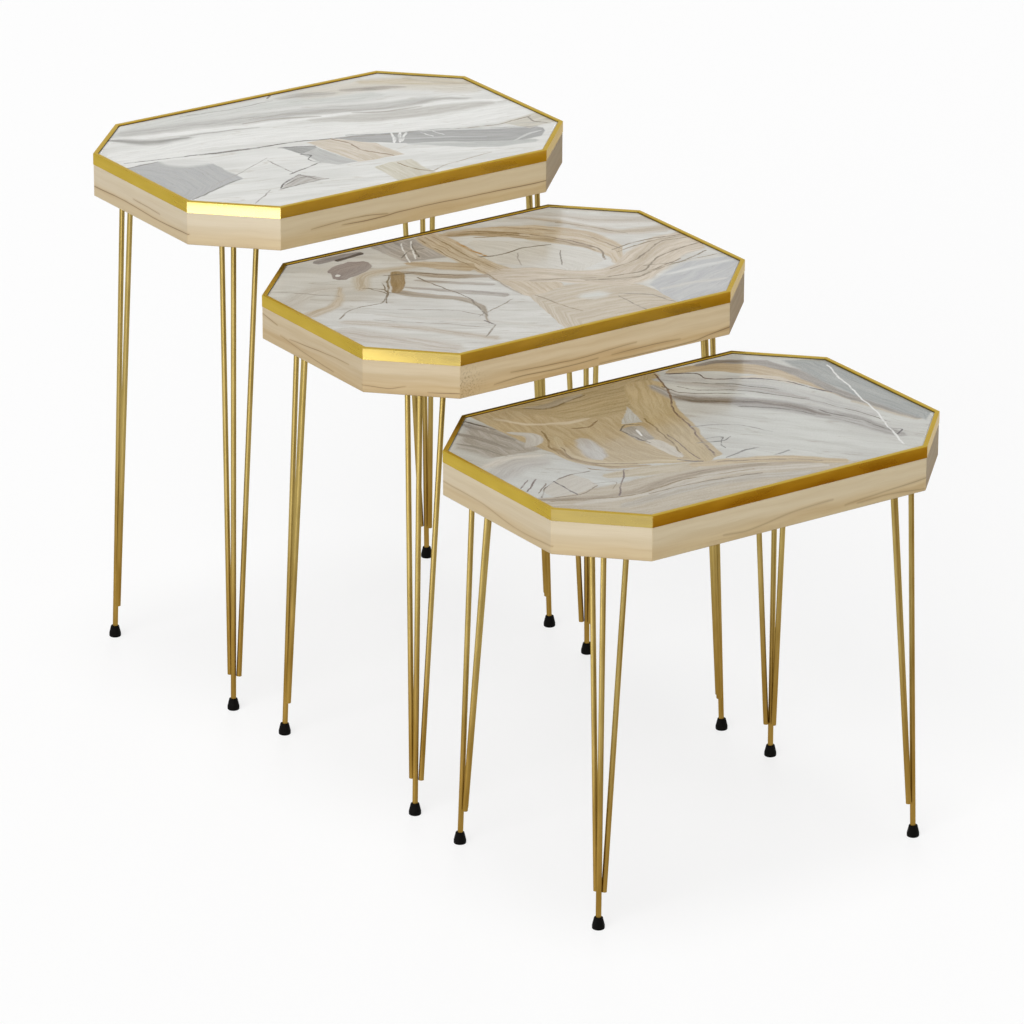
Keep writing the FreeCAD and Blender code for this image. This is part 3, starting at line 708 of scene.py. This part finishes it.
GRAIN_LINES = {
    "large": [
        ("front", (80, 35.5, 0.1), (110, 36.6, 0.5), (135, 36.2, 0.45), (152, 34.6, 0.4),
         (250, 35.2, 0.35), (354, 36.2, 0.4)),
        ("front", (40, 33, 0.1), (85, 30.5, 0.25), (118, 31.5, 0.3), (140, 34, 0.1)),
        ("left_end", (-2, 38.6, 0.4), (70, 37.2, 0.4), (130, 39.6, 0.4), (199, 38, 0.4)),
        ("left_end", (84, 29.6, 0.1), (112, 30.4, 0.25), (140, 31.5, 0.1)),
        ("rear", (-2, 36, 0.3), (90, 33.5, 0.4), (190, 37, 0.4), (290, 34.6, 0.3),
         (354, 37.5, 0.4)),
        ("rear", (110, 28.5, 0.1), (165, 31, 0.3), (220, 29, 0.1)),
        ("right_end", (-2, 37.5, 0.4), (64, 33.6, 0.4), (128, 36.5, 0.3), (199, 34, 0.4)),
    ],
    "medium": [
        ("front", (44, 43, 0.1), (80, 40.4, 0.4), (120, 42, 0.4), (178, 41, 0.2)),
        ("front", (65, 33.4, 0.1), (110, 35.2, 0.35), (160, 35.8, 0.35), (228, 33.2, 0.1)),
        ("front", (196, 41, 0.1), (240, 40, 0.35), (286, 41, 0.1)),
        # Partly a painted shadow near the board's lower edge, partly a dark grain line.
        ("front", (180, 47.4, 0.2), (300, 47.6, 0.35), (326, 44, 0.45), (354, 41, 0.5)),
        ("left_end", (54, 34.4, 0.1), (100, 30.6, 0.45), (146, 27.4, 0.3), (170, 27, 0.1)),
        ("left_end", (-2, 20, 0.3), (30, 25, 0.3)),
        ("left_end", (36, 35.6, 0.1), (88, 41.2, 0.3), (140, 45, 0.2)),
        ("front_left", (-2, 41.6, 0.2), (28, 43.6, 0.35), (46, 40, 0.1)),
        ("front_left", (70, 45.6, 0.2), (106, 44.2, 0.45)),
        ("rear", (40, 42, 0.1), (130, 37.5, 0.4), (230, 41.5, 0.4), (330, 38.5, 0.1)),
        ("rear", (190, 31, 0.1), (260, 28.4, 0.35), (354, 32, 0.3)),
        ("right_end", (-2, 28, 0.3), (50, 31.5, 0.35), (110, 28.8, 0.1)),
        ("right_end", (40, 42.5, 0.1), (120, 38.4, 0.4), (199, 41, 0.4)),
    ],
    "small": [
        ("left_end", (-2, 34, 0.25), (76, 35.6, 0.35), (110, 40.4, 0.4), (150, 43, 0.35),
         (199, 41, 0.3)),
        ("front", (246, 42.4, 0.1), (300, 38.6, 0.2), (354, 35.4, 0.3)),
        ("front", (90, 41, 0.05), (120, 43, 0.15), (170, 36, 0.15), (230, 33, 0.05)),
        ("front", (262, 44, 0.1), (300, 43, 0.2), (350, 47, 0.2)),
        ("rear", (-2, 39, 0.35), (110, 42, 0.4), (210, 37.4, 0.4), (300, 39.5, 0.1)),
        ("right_end", (20, 31, 0.1), (90, 34.2, 0.4), (199, 31.6, 0.4)),
    ],
}

# Tints of the veneer on the front boards, the front right corner and the others; the front
# boards carry painted light and shade, the front right corner painted shade.
FRONT_PAINTED_LIGHT_TINTS = {"large": (1.0, 0.97, 0.88, 1.0), "medium": (1.1, 1.06, 0.98, 1.0),
               "small": (1.2, 1.18, 1.1, 1.0)}
SIDE_TINTS = {"large": (1.0, 1.0, 1.0, 1.0), "medium": (0.92, 0.88, 0.81, 1.0),
              "small": (1.0, 0.99, 0.96, 1.0)}
RIGHT_CORNER_PAINTED_SHADE = (0.90, 0.77, 0.52, 1.0)

# How strongly the broad streaks and the grain lines show.
WOOD_CONTRAST = {"large": 0.35, "medium": 0.6, "small": 0.42}
LINE_STRENGTH = {"large": 0.8, "medium": 0.65, "small": 0.4}

# Where a burl speckle shows, as (side, along the side, drop below the rim, reach).
BURLS = {"medium": ("front", 6, 36.0, 34)}

# Veneer near the rim and lower down, each as (between the streaks, in the streaks). The
# one gives way to the other between two drops below the rim, in millimetres.
UPPER_VENEER = (srgb("ded0b6"), srgb("cab691"))
LOWER_VENEER = (srgb("d8c49f"), srgb("bea072"))
UPPER_DROP = 26.0
LOWER_DROP = 44.0
FIBRE = srgb("a88a60")        # darkest of the fine fibres
GRAIN_DRIFT = 9.0             # how far the grain strays from straight, in millimetres
LINE_DRIFT_SHARE = 0.25       # share of that drift which the drawn grain lines take
LINE_CORE = srgb("745838")
LINE_HALO = srgb("ba9c70")
CORE_BLUR = 0.3
HALO_BLUR = 1.2
HALO_STRENGTH = 0.35
BURL_DARK = srgb("8c6e42")
BURL_PALE = srgb("e8dcc2")
BURL_DOT_SIZE = 2.6

# Sizes of the noise in the veneer, in millimetres along the grain and across it.
DRIFT_SIZES = (60, 30, 0)
STREAK_SIZES = (170, 8, 0)
FIBRE_SIZES = (60, 0.9, 0)


def draw_grain_lines(tree, table, groups, point, colour):
    """Draws a table's grain lines, each dark in the middle of a soft brown halo."""
    layers = (colour, colour, point)
    for side, *line in GRAIN_LINES[table.name]:
        start = table.side_start(side) / MM
        core = [(start + along, -drop, half) for along, drop, half in line]
        halo = [(x, y, half + HALO_BLUR) for x, y, half in core]
        for shade, blur, path, strength in (
                (LINE_HALO, HALO_BLUR, halo, HALO_STRENGTH),
                (LINE_CORE, CORE_BLUR, core, LINE_STRENGTH[table.name])):
            feature = Feature("vein", shade, shade, blur, path)
            layers = draw_feature(tree, groups, point, layers, feature, strength)
    return layers[0]


def draw_burl(tree, table, point, colour):
    """Scatters dark and pale dots round the burl, fading outwards."""
    side, along, drop, reach = BURLS[table.name]
    middle = (table.side_start(side) / MM + along, -drop, 0.0)
    away = tree.vector("DISTANCE", point, middle)
    dots = tree.noise(point, 1 / BURL_DOT_SIZE, 2.0, 0.75)["Fac"]
    spread = tree.remap(away, reach, 0.0)
    dark = tree.math("MULTIPLY", tree.remap(dots, 0.5, 0.68, 0.0, 0.6), spread)
    pale = tree.math("MULTIPLY", tree.remap(dots, 0.44, 0.3, 0.0, 0.5), spread)
    return tree.mix(pale, tree.mix(dark, colour, BURL_DARK), BURL_PALE)


def apron_wood(table, groups):
    """Pale wood-look veneer whose grain follows each board."""
    tree = new_material(table.name + "_apron_wood")
    point = tree.grain_point()
    wander = tree.drawn_noise(point, DRIFT_SIZES)
    lift = tree.math("MULTIPLY_ADD", wander, GRAIN_DRIFT, -GRAIN_DRIFT / 2)
    flowing = tree.vector("ADD", point, tree.combine(0.0, lift))
    broad = tree.drawn_noise(flowing, STREAK_SIZES, 3.0)
    fine = tree.drawn_noise(flowing, FIBRE_SIZES, 3.0, 0.6)
    low = tree.remap(tree.separate(flowing)[1], -UPPER_DROP, -LOWER_DROP)
    streaks = tree.remap(broad, 0.3, 0.7, 0.0, WOOD_CONTRAST[table.name])
    pale = tree.mix(streaks, *UPPER_VENEER)
    tan = tree.mix(streaks, *LOWER_VENEER)
    colour = tree.mix(low, pale, tan)
    colour = tree.mix(tree.remap(fine, 0.5, 0.85, 0.0, 0.22), colour, FIBRE)
    # Painted light and shade: the veneer is warmer and, on some tables, brighter on the front
    # boards, and painted shade makes the front right corner browner and darker.
    normal = tree.node("TexCoord").outputs["Normal"]
    front = tree.facing(normal, (0, -1, 0), 0.8, 0.95)
    corner = tree.facing(normal, (0.707, -0.707, 0), 0.8, 0.95)
    tint = tree.mix(front, SIDE_TINTS[table.name], FRONT_PAINTED_LIGHT_TINTS[table.name])
    colour = tree.tinted(1.0, colour, tint)
    colour = tree.tinted(corner, colour, RIGHT_CORNER_PAINTED_SHADE)
    line_lift = tree.math("MULTIPLY", lift, LINE_DRIFT_SHARE)
    shaken = tree.vector("ADD", point, tree.combine(0.0, line_lift))
    colour = draw_grain_lines(tree, table, groups, shaken, colour)
    if table.name in BURLS:
        colour = draw_burl(tree, table, point, colour)
    return tree.surface(Base_Color=colour, Roughness=tree.remap(fine, 0.2, 0.8, 0.42, 0.58),
                        IOR=1.4, Normal=tree.bump(fine, 0.25, 0.0002))


# --- metals, rubber and the hidden materials ---------------------------------------------

# Painted shade on the trim, by the way a strip's face looks, as (direction, from, to, tint):
# the front is painted redder and darker, the flange a little darker and the front right corner
# browner.
TRIM_PAINTED_SHADE_TINTS = [
    ((0, -1, 0), 0.75, 0.95, (0.96, 0.76, 0.45, 1.0)),
    ((0, 0, 1), 0.75, 0.95, (0.96, 0.93, 0.85, 1.0)),
    ((0.707, -0.707, 0), 0.9, 0.98, (0.72, 0.62, 0.42, 1.0)),
]
# Painted highlight on the front left corner: its pale gold and how much of it is mixed in.
FRONT_LEFT_PAINTED_HIGHLIGHT = srgb("ece0b4")
PAINTED_HIGHLIGHT_SHARE = 0.14

# Sizes of the noise in the metals, in millimetres: on the trim along the strip and down
# its face, and on the rods along X, Y and Z.
BRUSH_SIZES = (45, 0.35, 0)
TRIM_CLOUD_SIZES = (60, 16, 0)
DRAW_MARK_SIZES = (0.9, 0.9, 45)
ROD_CLOUD_SIZES = (9, 9, 60)

# Heights above the floor between which the painted shade on a rod gives way, from warm dark
# gold to pale gold, millimetres.
SHADED_HEIGHT = 60.0
LIT_HEIGHT = 280.0

# Sizes of the grain and the dust on rubber, and of the chips and the clouds in plating.
RUBBER_GRAIN_SIZE = 0.5
DUST_SIZE = 6
CHIP_SIZE = 3.5
PLATING_CLOUD_SIZE = 2.2


def gold_trim():
    """Lacquered satin gold sheet, brushed along each strip."""
    tree = new_material("satin_gold_trim")
    point = tree.grain_point()
    brushed = tree.drawn_noise(point, BRUSH_SIZES, 3.0, 0.6)
    cloudy = tree.drawn_noise(point, TRIM_CLOUD_SIZES)
    colour = tree.ramp(cloudy, (0.25, srgb("b09428")), (0.5, srgb("ba9e2e")),
                       (0.75, srgb("c2a638")))
    colour = tree.mix(tree.remap(brushed, 0.4, 0.8, 0.0, 0.16), colour, srgb("846418"))
    normal = tree.node("TexCoord").outputs["Normal"]
    # Painted shade and painted reflection, by the way each face of a strip looks.
    for direction, low, high, tint in TRIM_PAINTED_SHADE_TINTS:
        colour = tree.tinted(tree.facing(normal, direction, low, high), colour, tint)
    # Painted highlight on the front left corner: its colour is mixed towards pale gold, and it
    # gets a heavier coat, so it is also glossier.
    left = tree.facing(normal, (-0.707, -0.707, 0), 0.9, 0.98)
    colour = tree.mix(tree.math("MULTIPLY", left, PAINTED_HIGHLIGHT_SHARE), colour, FRONT_LEFT_PAINTED_HIGHLIGHT)
    return tree.surface(Base_Color=colour, Metallic=1.0,
                        Roughness=tree.remap(cloudy, 0.25, 0.75, 0.24, 0.34),
                        Specular_Tint=(0.95, 0.8, 0.4, 1.0),
                        Coat_Weight=tree.math("MULTIPLY_ADD", left, 0.65, 0.35),
                        Coat_Roughness=0.12, Coat_IOR=1.6,
                        Normal=tree.bump(brushed, 0.08, 0.00008))


def gold_rod():
    """Satin gold lacquer on wire, painted warmer near the floor as shade, with faint drawing marks.
    """
    tree = new_material("satin_gold_rod")
    point = tree.object_point()
    height = tree.separate(point)[2]
    drawn = tree.drawn_noise(point, DRAW_MARK_SIZES, 3.0, 0.6)
    cloudy = tree.drawn_noise(point, ROD_CLOUD_SIZES)
    # Painted shade: the first ramp is the shaded gold near the floor, pale the lit gold higher up.
    shaded_gold = tree.ramp(cloudy, (0.3, srgb("8d6d2e")), (0.7, srgb("a58542")))
    pale = tree.ramp(cloudy, (0.3, srgb("a08a4e")), (0.7, srgb("b9a364")))
    colour = tree.mix(tree.remap(height, SHADED_HEIGHT, LIT_HEIGHT), shaded_gold, pale)
    colour = tree.mix(tree.remap(drawn, 0.45, 0.8, 0.0, 0.2), colour, srgb("685226"))
    return tree.surface(Base_Color=colour, Metallic=1.0,
                        Roughness=tree.remap(cloudy, 0.25, 0.75, 0.36, 0.48),
                        Specular_Tint=(0.9, 0.8, 0.5, 1.0),
                        Normal=tree.bump(drawn, 0.12, 0.0001))


def rubber(name, shade, dusty):
    """Matte rubber with a fine grain and a little dust on it."""
    tree = new_material(name)
    point = tree.object_point()
    grain = tree.noise(point, 1 / RUBBER_GRAIN_SIZE, 3.0, 0.7)["Fac"]
    dust = tree.noise(point, 1 / DUST_SIZE, 3.0)["Fac"]
    colour = tree.mix(tree.remap(dust, 0.45, 0.75), srgb(shade), srgb(dusty))
    return tree.surface(Base_Color=colour, Roughness=tree.remap(grain, 0.3, 0.7, 0.5, 0.68),
                        IOR=1.15, Normal=tree.bump(grain, 0.2, 0.0001))


def particle_board():
    """Chips of the core panel's underside."""
    tree = new_material("particle_board")
    point = tree.object_point()
    cells = tree.node("TexVoronoi", {"Vector": point, "Scale": 1 / CHIP_SIZE,
                                     "Randomness": 1.0})
    chip = tree.separate(cells.outputs["Color"])[0]
    colour = tree.ramp(chip, (0.0, srgb("967a52")), (0.5, srgb("b89c70")),
                       (1.0, srgb("ceb68c")))
    return tree.surface(Base_Color=colour, Roughness=tree.remap(chip, 0.0, 1.0, 0.7, 0.85),
                        Normal=tree.bump(cells.outputs["Distance"], 0.3, 0.0003))


def zinc():
    """Dull plating of the screws."""
    tree = new_material("zinc_screw")
    point = tree.object_point()
    cloudy = tree.noise(point, 1 / PLATING_CLOUD_SIZE, 3.0)["Fac"]
    colour = tree.ramp(cloudy, (0.3, srgb("969698")), (0.7, srgb("c4c4c4")))
    return tree.surface(Base_Color=colour, Metallic=1.0,
                        Roughness=tree.remap(cloudy, 0.25, 0.75, 0.3, 0.5))


# --- shapes ------------------------------------------------------------------------------

class Table:
    """Sizes and levels of one table, read from the frame."""

    def __init__(self, name):
        self.name = name
        self.body = name + "_table"
        low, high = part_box(name + "_gold_edge_trim")
        board_low, board_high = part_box(name + "_front_apron_board")
        end_low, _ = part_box(name + "_left_end_apron_board")
        inlay_low, inlay_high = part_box(name + "_marble_inlay")
        seal_low, seal_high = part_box(name + "_rim_seal")
        panel_low, panel_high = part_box(name + "_core_panel")
        self.y = (low.y + high.y) / 2
        self.half_length = (high.x - low.x) / 2
        self.half_width = (high.y - low.y) / 2
        self.proud = end_low.x - low.x
        # The front board ends where the cut starts on the outline inset by proud, which
        # is how far the trim stands in front of the boards.
        self.corner = self.half_length - board_high.x - self.proud * (1 - CUT_SHARE)
        self.inlay_inset = inlay_low.x - low.x
        self.rim = high.z
        self.trim_bottom = low.z
        self.seal_top, self.seal_bottom = seal_high.z, seal_low.z
        self.field_top = inlay_high.z
        self.inlay_bottom = inlay_low.z
        self.panel_top, self.panel_bottom = panel_high.z, panel_low.z
        self.apron_bottom = board_low.z

    def octagon(self, inset=0.0):
        """Corners of the outline moved inwards, from the front side's left end."""
        a = self.half_length - inset
        b = self.half_width - inset
        c = self.corner - inset * CUT_SHARE
        return [Vector((x, y + self.y)) for x, y in (
            (-a + c, -b), (a - c, -b), (a, -b + c), (a, b - c),
            (a - c, b), (-a + c, b), (-a, b - c), (-a, -b + c))]

    def side_start(self, side):
        """Length along the outline from the front side's left end to the side's start."""
        corners = self.octagon()
        index = SIDES.index(side)
        return sum((corners[i + 1] - corners[i]).length for i in range(index))


def add_object(name, data):
    """Links a new object into the scene."""
    thing = bpy.data.objects.new(name, data)
    bpy.context.scene.collection.objects.link(thing)
    return thing


def new_piece(name, made, table, slot, material, *nodes):
    """Finishes a bmesh as a piece that rides on its table and stands for CAD nodes."""
    mesh = bpy.data.meshes.new(name)
    bmesh.ops.recalc_face_normals(made, faces=made.faces)
    made.to_mesh(mesh)
    made.free()
    mesh.shade_smooth()
    mesh.set_sharp_from_angle(angle=math.radians(SMOOTH_ANGLE))
    mesh.materials.append(material)
    piece = add_object(name, mesh)
    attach(piece, table.body)
    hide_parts(*nodes)


def rounded(corners):
    """Outline with arcs at its corners, from (u, v, radius) of each."""
    outline = []
    for i, (u, v, radius) in enumerate(corners):
        here = Vector((u, v))
        to_last = (Vector(corners[i - 1][:2]) - here).normalized()
        to_next = (Vector(corners[(i + 1) % len(corners)][:2]) - here).normalized()
        if radius == 0:
            outline.append(tuple(here))
            continue
        half = to_last.angle(to_next) / 2
        centre = here + (to_last + to_next).normalized() * (radius / math.sin(half))
        first = here + to_last * (radius / math.tan(half)) - centre
        last = here + to_next * (radius / math.tan(half)) - centre
        for step in range(ARC_STEPS + 1):
            arm = first.lerp(last, step / ARC_STEPS)
            outline.append(tuple(centre + arm.normalized() * radius))
    return outline


def add_strip(made, table, side, profile):
    """Adds a mitred strip along one side to a bmesh, from its profile of (depth, z).

    Close to the mitres the outer corner is drawn in by MITRE_BEVEL. The grain map runs
    along the strip, and down its face from the rim.
    """
    grain = made.loops.layers.uv.get("grain") or made.loops.layers.uv.new("grain")
    index = SIDES.index(side)
    start = table.side_start(side)
    outer = min(depth for depth, _ in profile)
    top = max(z for _, z in profile)
    corners = table.octagon(outer)
    along = (corners[(index + 1) % len(SIDES)] - corners[index]).normalized()
    origin = table.octagon()[index]
    rings = []
    # Each ring is at one end of the side, some way in from the mitre, and drawn in or not.
    for end, inward, drawn in ((0, 0.0, True), (0, MITRE_BEVEL, False),
                               (1, MITRE_BEVEL, False), (1, 0.0, True)):
        ring = []
        for depth, z in profile:
            if drawn:
                depth = max(depth, outer + MITRE_BEVEL)
                z = min(z, top - MITRE_BEVEL)
            spot = table.octagon(depth)[(index + end) % len(SIDES)]
            spot = spot + along * (inward if end == 0 else -inward)
            u = start + (spot - origin).dot(along)
            v = (z - table.rim) - (depth - outer)
            ring.append((made.verts.new((spot.x, spot.y, z)), (u, v)))
        rings.append(ring)

    def add_face(spots):
        face = made.faces.new([vert for vert, _ in spots])
        for loop, (_, uv) in zip(face.loops, spots):
            loop[grain].uv = uv

    for ring, following in zip(rings, rings[1:]):
        for i in range(len(ring)):
            j = (i + 1) % len(ring)
            add_face([ring[i], ring[j], following[j], following[i]])
    add_face(rings[0][::-1])
    add_face(rings[-1])


def strips(name, table, sides, profile, slot, material, *nodes):
    """One piece made of a mitred strip along each of the sides."""
    made = bmesh.new()
    for side in sides:
        add_strip(made, table, side, profile)
    new_piece(name, made, table, slot, material, *nodes)


def make_aprons(table, material):
    profile = rounded([
        (table.proud, table.apron_bottom, BOARD_ROUND),
        (BOARD, table.apron_bottom, BOARD_ROUND),
        (BOARD, table.panel_bottom, 0),
        (BOARD - LEDGE, table.panel_bottom, 0),
        (BOARD - LEDGE, table.panel_top, 0),
        (TRIM_SHEET, table.panel_top, 0),
        (TRIM_SHEET, table.trim_bottom, 0),
        (table.proud, table.trim_bottom, 0),
    ])
    for side in STRAIGHT_SIDES:
        strips(f"{table.name}_{side}_board", table, [side], profile, "apron_wood", material,
               f"{table.name}_{side}_apron_board")
    strips(table.name + "_corner_boards", table, CORNER_SIDES, profile, "apron_wood",
           material, table.name + "_corner_apron_boards")


def make_trim(table, material):
    profile = rounded([
        (0, table.trim_bottom, 0),
        (TRIM_SHEET, table.trim_bottom, 0),
        (TRIM_SHEET, table.seal_top, 0),
        (FLANGE, table.seal_top, 0),
        (FLANGE, table.rim, TRIM_ROUND),
        (0, table.rim, TRIM_ROUND),
    ])
    strips(table.name + "_edge_strips", table, SIDES, profile, "gold_trim", material,
           table.name + "_gold_edge_trim")


def ring_of_verts(made, table, inset, z):
    """Vertices at the corners of the outline moved inwards, at one height."""
    return [made.verts.new((p.x, p.y, z)) for p in table.octagon(inset)]


def join_rings(made, ring, following):
    """Closes the wall between two rings of corners."""
    for i in range(len(ring)):
        j = (i + 1) % len(ring)
        made.faces.new([ring[i], ring[j], following[j], following[i]])


def make_inlay(table, material):
    border_top = table.inlay_bottom + INLAY_BORDER
    field = FLANGE + SHADOW_GAP
    made = bmesh.new()
    rings = [ring_of_verts(made, table, inset, z) for inset, z in (
        (table.inlay_inset, table.inlay_bottom),
        (table.inlay_inset, border_top),
        (field, border_top),
        (field, table.field_top - FIELD_ROUND),
        (field + FIELD_ROUND, table.field_top),
    )]
    for ring, following in zip(rings, rings[1:]):
        join_rings(made, ring, following)
    made.faces.new(rings[0][::-1])
    made.faces.new(rings[-1])
    new_piece(table.name + "_inlay_sheet", made, table, "marble_laminate", material,
              table.name + "_marble_inlay")


def make_seal(table, material):
    outer, inner = table.inlay_inset, FLANGE - SEAL_SETBACK
    low, high = table.seal_bottom, table.seal_top
    made = bmesh.new()
    rings = [ring_of_verts(made, table, inset, z) for inset, z in (
        (outer, low), (inner, low), (inner, high), (outer, high))]
    for ring, following in zip(rings, rings[1:] + rings[:1]):
        join_rings(made, ring, following)
    new_piece(table.name + "_seal_bead", made, table, "seal_rubber", material,
              table.name + "_rim_seal")


# --- camera and studio -------------------------------------------------------------------

SENSOR = 36.0                 # millimetres, as the lens
LENS = 231.4
CAMERA_PLACE = (-3.811, -5.533, 2.946)
CAMERA_HEADING = -34.63       # degrees
CAMERA_PITCH = 21.77          # degrees downwards
CAMERA_ROLL = 0.0048          # radians
CLIP_END = 100.0

FLOOR_SIZE = (80.0, 80.0)
FLOOR_DROP = 0.0002           # keeps the floor clear of the soles
FLOOR_LIT = (0.22, 0.22, 0.22, 1.0)    # colour that scatters light onto the tables
FLOOR_SEEN = (0.23, 0.23, 0.23, 1.0)   # colour as seen, which carries the shadows
FLOOR_GLOW = 0.75             # added to it as seen, for a white floor
WHITE = (1.0, 1.0, 1.0, 1.0)
AMBIENT = 0.19                # light of the world on the tables
BACKGROUND = 0.975            # the world as seen

# Wide, soft lights: (name, azimuth, elevation and spread in degrees, strength).
SUNS = [
    ("overhead", 0, 90, 20, 0.255),
    ("rear_fill", 56, 8, 20, 0.62),
    ("window", 214, 32, 52, 0.90),
]


def make_camera():
    data = bpy.data.cameras.new("camera")
    data.sensor_width = SENSOR
    data.lens = LENS
    data.clip_end = CLIP_END
    camera = add_object("camera", data)
    heading, pitch = math.radians(CAMERA_HEADING), math.radians(CAMERA_PITCH)
    turn = Matrix.Rotation(heading, 4, "Z") @ Matrix.Rotation(math.pi / 2 - pitch, 4, "X")
    place = Matrix.Translation(CAMERA_PLACE)
    camera.matrix_world = place @ turn @ Matrix.Rotation(CAMERA_ROLL, 4, "Z")
    bpy.context.scene.camera = camera


def seen_directly(tree):
    """1 for rays from the camera and for those seen in gloss and glass."""
    rays = tree.node("LightPath").outputs
    direct = tree.math("MAXIMUM", rays["Is Camera Ray"], rays["Is Glossy Ray"])
    return tree.math("MAXIMUM", direct, rays["Is Transmission Ray"])


def flat_rectangle(name, place, size):
    """Level rectangle of a size along X and Y, from a square of one metre."""
    made = bmesh.new()
    bmesh.ops.create_grid(made, x_segments=1, y_segments=1, size=0.5)
    bmesh.ops.scale(made, verts=made.verts, vec=(*size, 1.0))
    mesh = bpy.data.meshes.new(name)
    made.to_mesh(mesh)
    made.free()
    rectangle = add_object(name, mesh)
    rectangle.location = place
    return rectangle


def make_floor():
    floor = flat_rectangle("floor", (0.0, 0.0, -FLOOR_DROP), FLOOR_SIZE)
    tree = new_material("floor")
    direct = seen_directly(tree)
    diffuse = tree.node("BsdfDiffuse", {"Color": tree.mix(direct, FLOOR_LIT, FLOOR_SEEN)})
    glow = tree.node("Emission", {"Color": WHITE,
                                  "Strength": tree.math("MULTIPLY", direct, FLOOR_GLOW)})
    both = tree.node("AddShader", {0: diffuse.outputs[0], 1: glow.outputs[0]})
    tree.node("OutputMaterial", {"Surface": both.outputs[0]})
    floor.data.materials.append(tree.owner)


def make_world():
    world = bpy.data.worlds.new("studio")
    world.use_nodes = True
    bpy.context.scene.world = world
    tree = Tree(world.node_tree)
    ambient = tree.node("Background", {"Color": WHITE, "Strength": AMBIENT})
    seen = tree.node("Background", {"Color": WHITE, "Strength": BACKGROUND})
    chosen = tree.node("MixShader", {0: seen_directly(tree), 1: ambient.outputs[0],
                                     2: seen.outputs[0]})
    tree.node("OutputWorld", {"Surface": chosen.outputs[0]})


def make_sun(name, azimuth, elevation, spread, strength):
    """Wide, soft light from far away; angles in degrees."""
    data = bpy.data.lights.new(name, "SUN")
    data.angle = math.radians(spread)
    data.energy = strength * math.pi
    light = add_object(name, data)
    light.rotation_euler = (math.radians(90 - elevation), 0.0, math.radians(azimuth + 90))
    light.visible_glossy = False


def reflected_only(thing):
    """Lets a thing be seen in gloss and by nothing else."""
    thing.visible_camera = False
    thing.visible_diffuse = False
    thing.visible_shadow = False
    thing.visible_transmission = False


def make_kicker(place, target, size, power):
    """Small bright card that shows only in glossy surfaces."""
    data = bpy.data.lights.new("kicker", "AREA")
    data.size = size
    data.energy = power
    light = add_object("kicker", data)
    light.location = place
    aim = Vector(target) - Vector(place)
    light.rotation_euler = aim.to_track_quat("-Z", "Y").to_euler()
    reflected_only(light)


def make_flag(place, size, colour):
    """Brown card just above the floor that shows only in glossy surfaces."""
    flag = flat_rectangle("flag", place, size)
    tree = new_material("flag")
    glow = tree.node("Emission", {"Color": colour, "Strength": 1.0})
    tree.node("OutputMaterial", {"Surface": glow.outputs[0]})
    flag.data.materials.append(tree.owner)
    reflected_only(flag)


def make_studio():
    make_camera()
    make_floor()
    make_world()
    for sun in SUNS:
        make_sun(*sun)
    make_kicker(place=(-1.15, -0.36, 0.15), target=(-0.2, 0.1, 0.5), size=0.45, power=3.1)
    make_flag(place=(0.80, -1.45, 0.002), size=(1.9, 1.3), colour=(0.395, 0.24, 0.047, 1.0))


# --- the tables --------------------------------------------------------------------------

def paint_nodes(table, materials):
    """New materials for the CAD nodes that show as they are."""
    endings = {"core_panel": "core", "leg_plates": "rod", "plate_screws": "screw"}
    for leg in CORNER_SIDES:
        endings[leg + "_leg_rods"] = "rod"
        endings[leg + "_foot"] = "foot"
    for ending, key in endings.items():
        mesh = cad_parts[f"{table.name}_{ending}"].data
        mesh.materials.clear()
        mesh.materials.append(materials[key])


def make_table(name, materials, groups):
    table = Table(name)
    make_aprons(table, apron_wood(table, groups))
    make_trim(table, materials["trim"])
    make_inlay(table, marble(table, groups))
    make_seal(table, materials["seal"])
    paint_nodes(table, materials)


make_studio()
shared = {
    "trim": gold_trim(),
    "rod": gold_rod(),
    "seal": rubber("seal_bead", "4a381e", "513f25"),
    "foot": rubber("foot_rubber", "090807", "100f0e"),
    "core": particle_board(),
    "screw": zinc(),
}
feature_groups = {"axis": axis_group(), "layer": layer_group()}
for table_name in TABLE_NAMES:
    make_table(table_name, shared, feature_groups)

bpy.context.scene.view_settings.view_transform = "Standard"
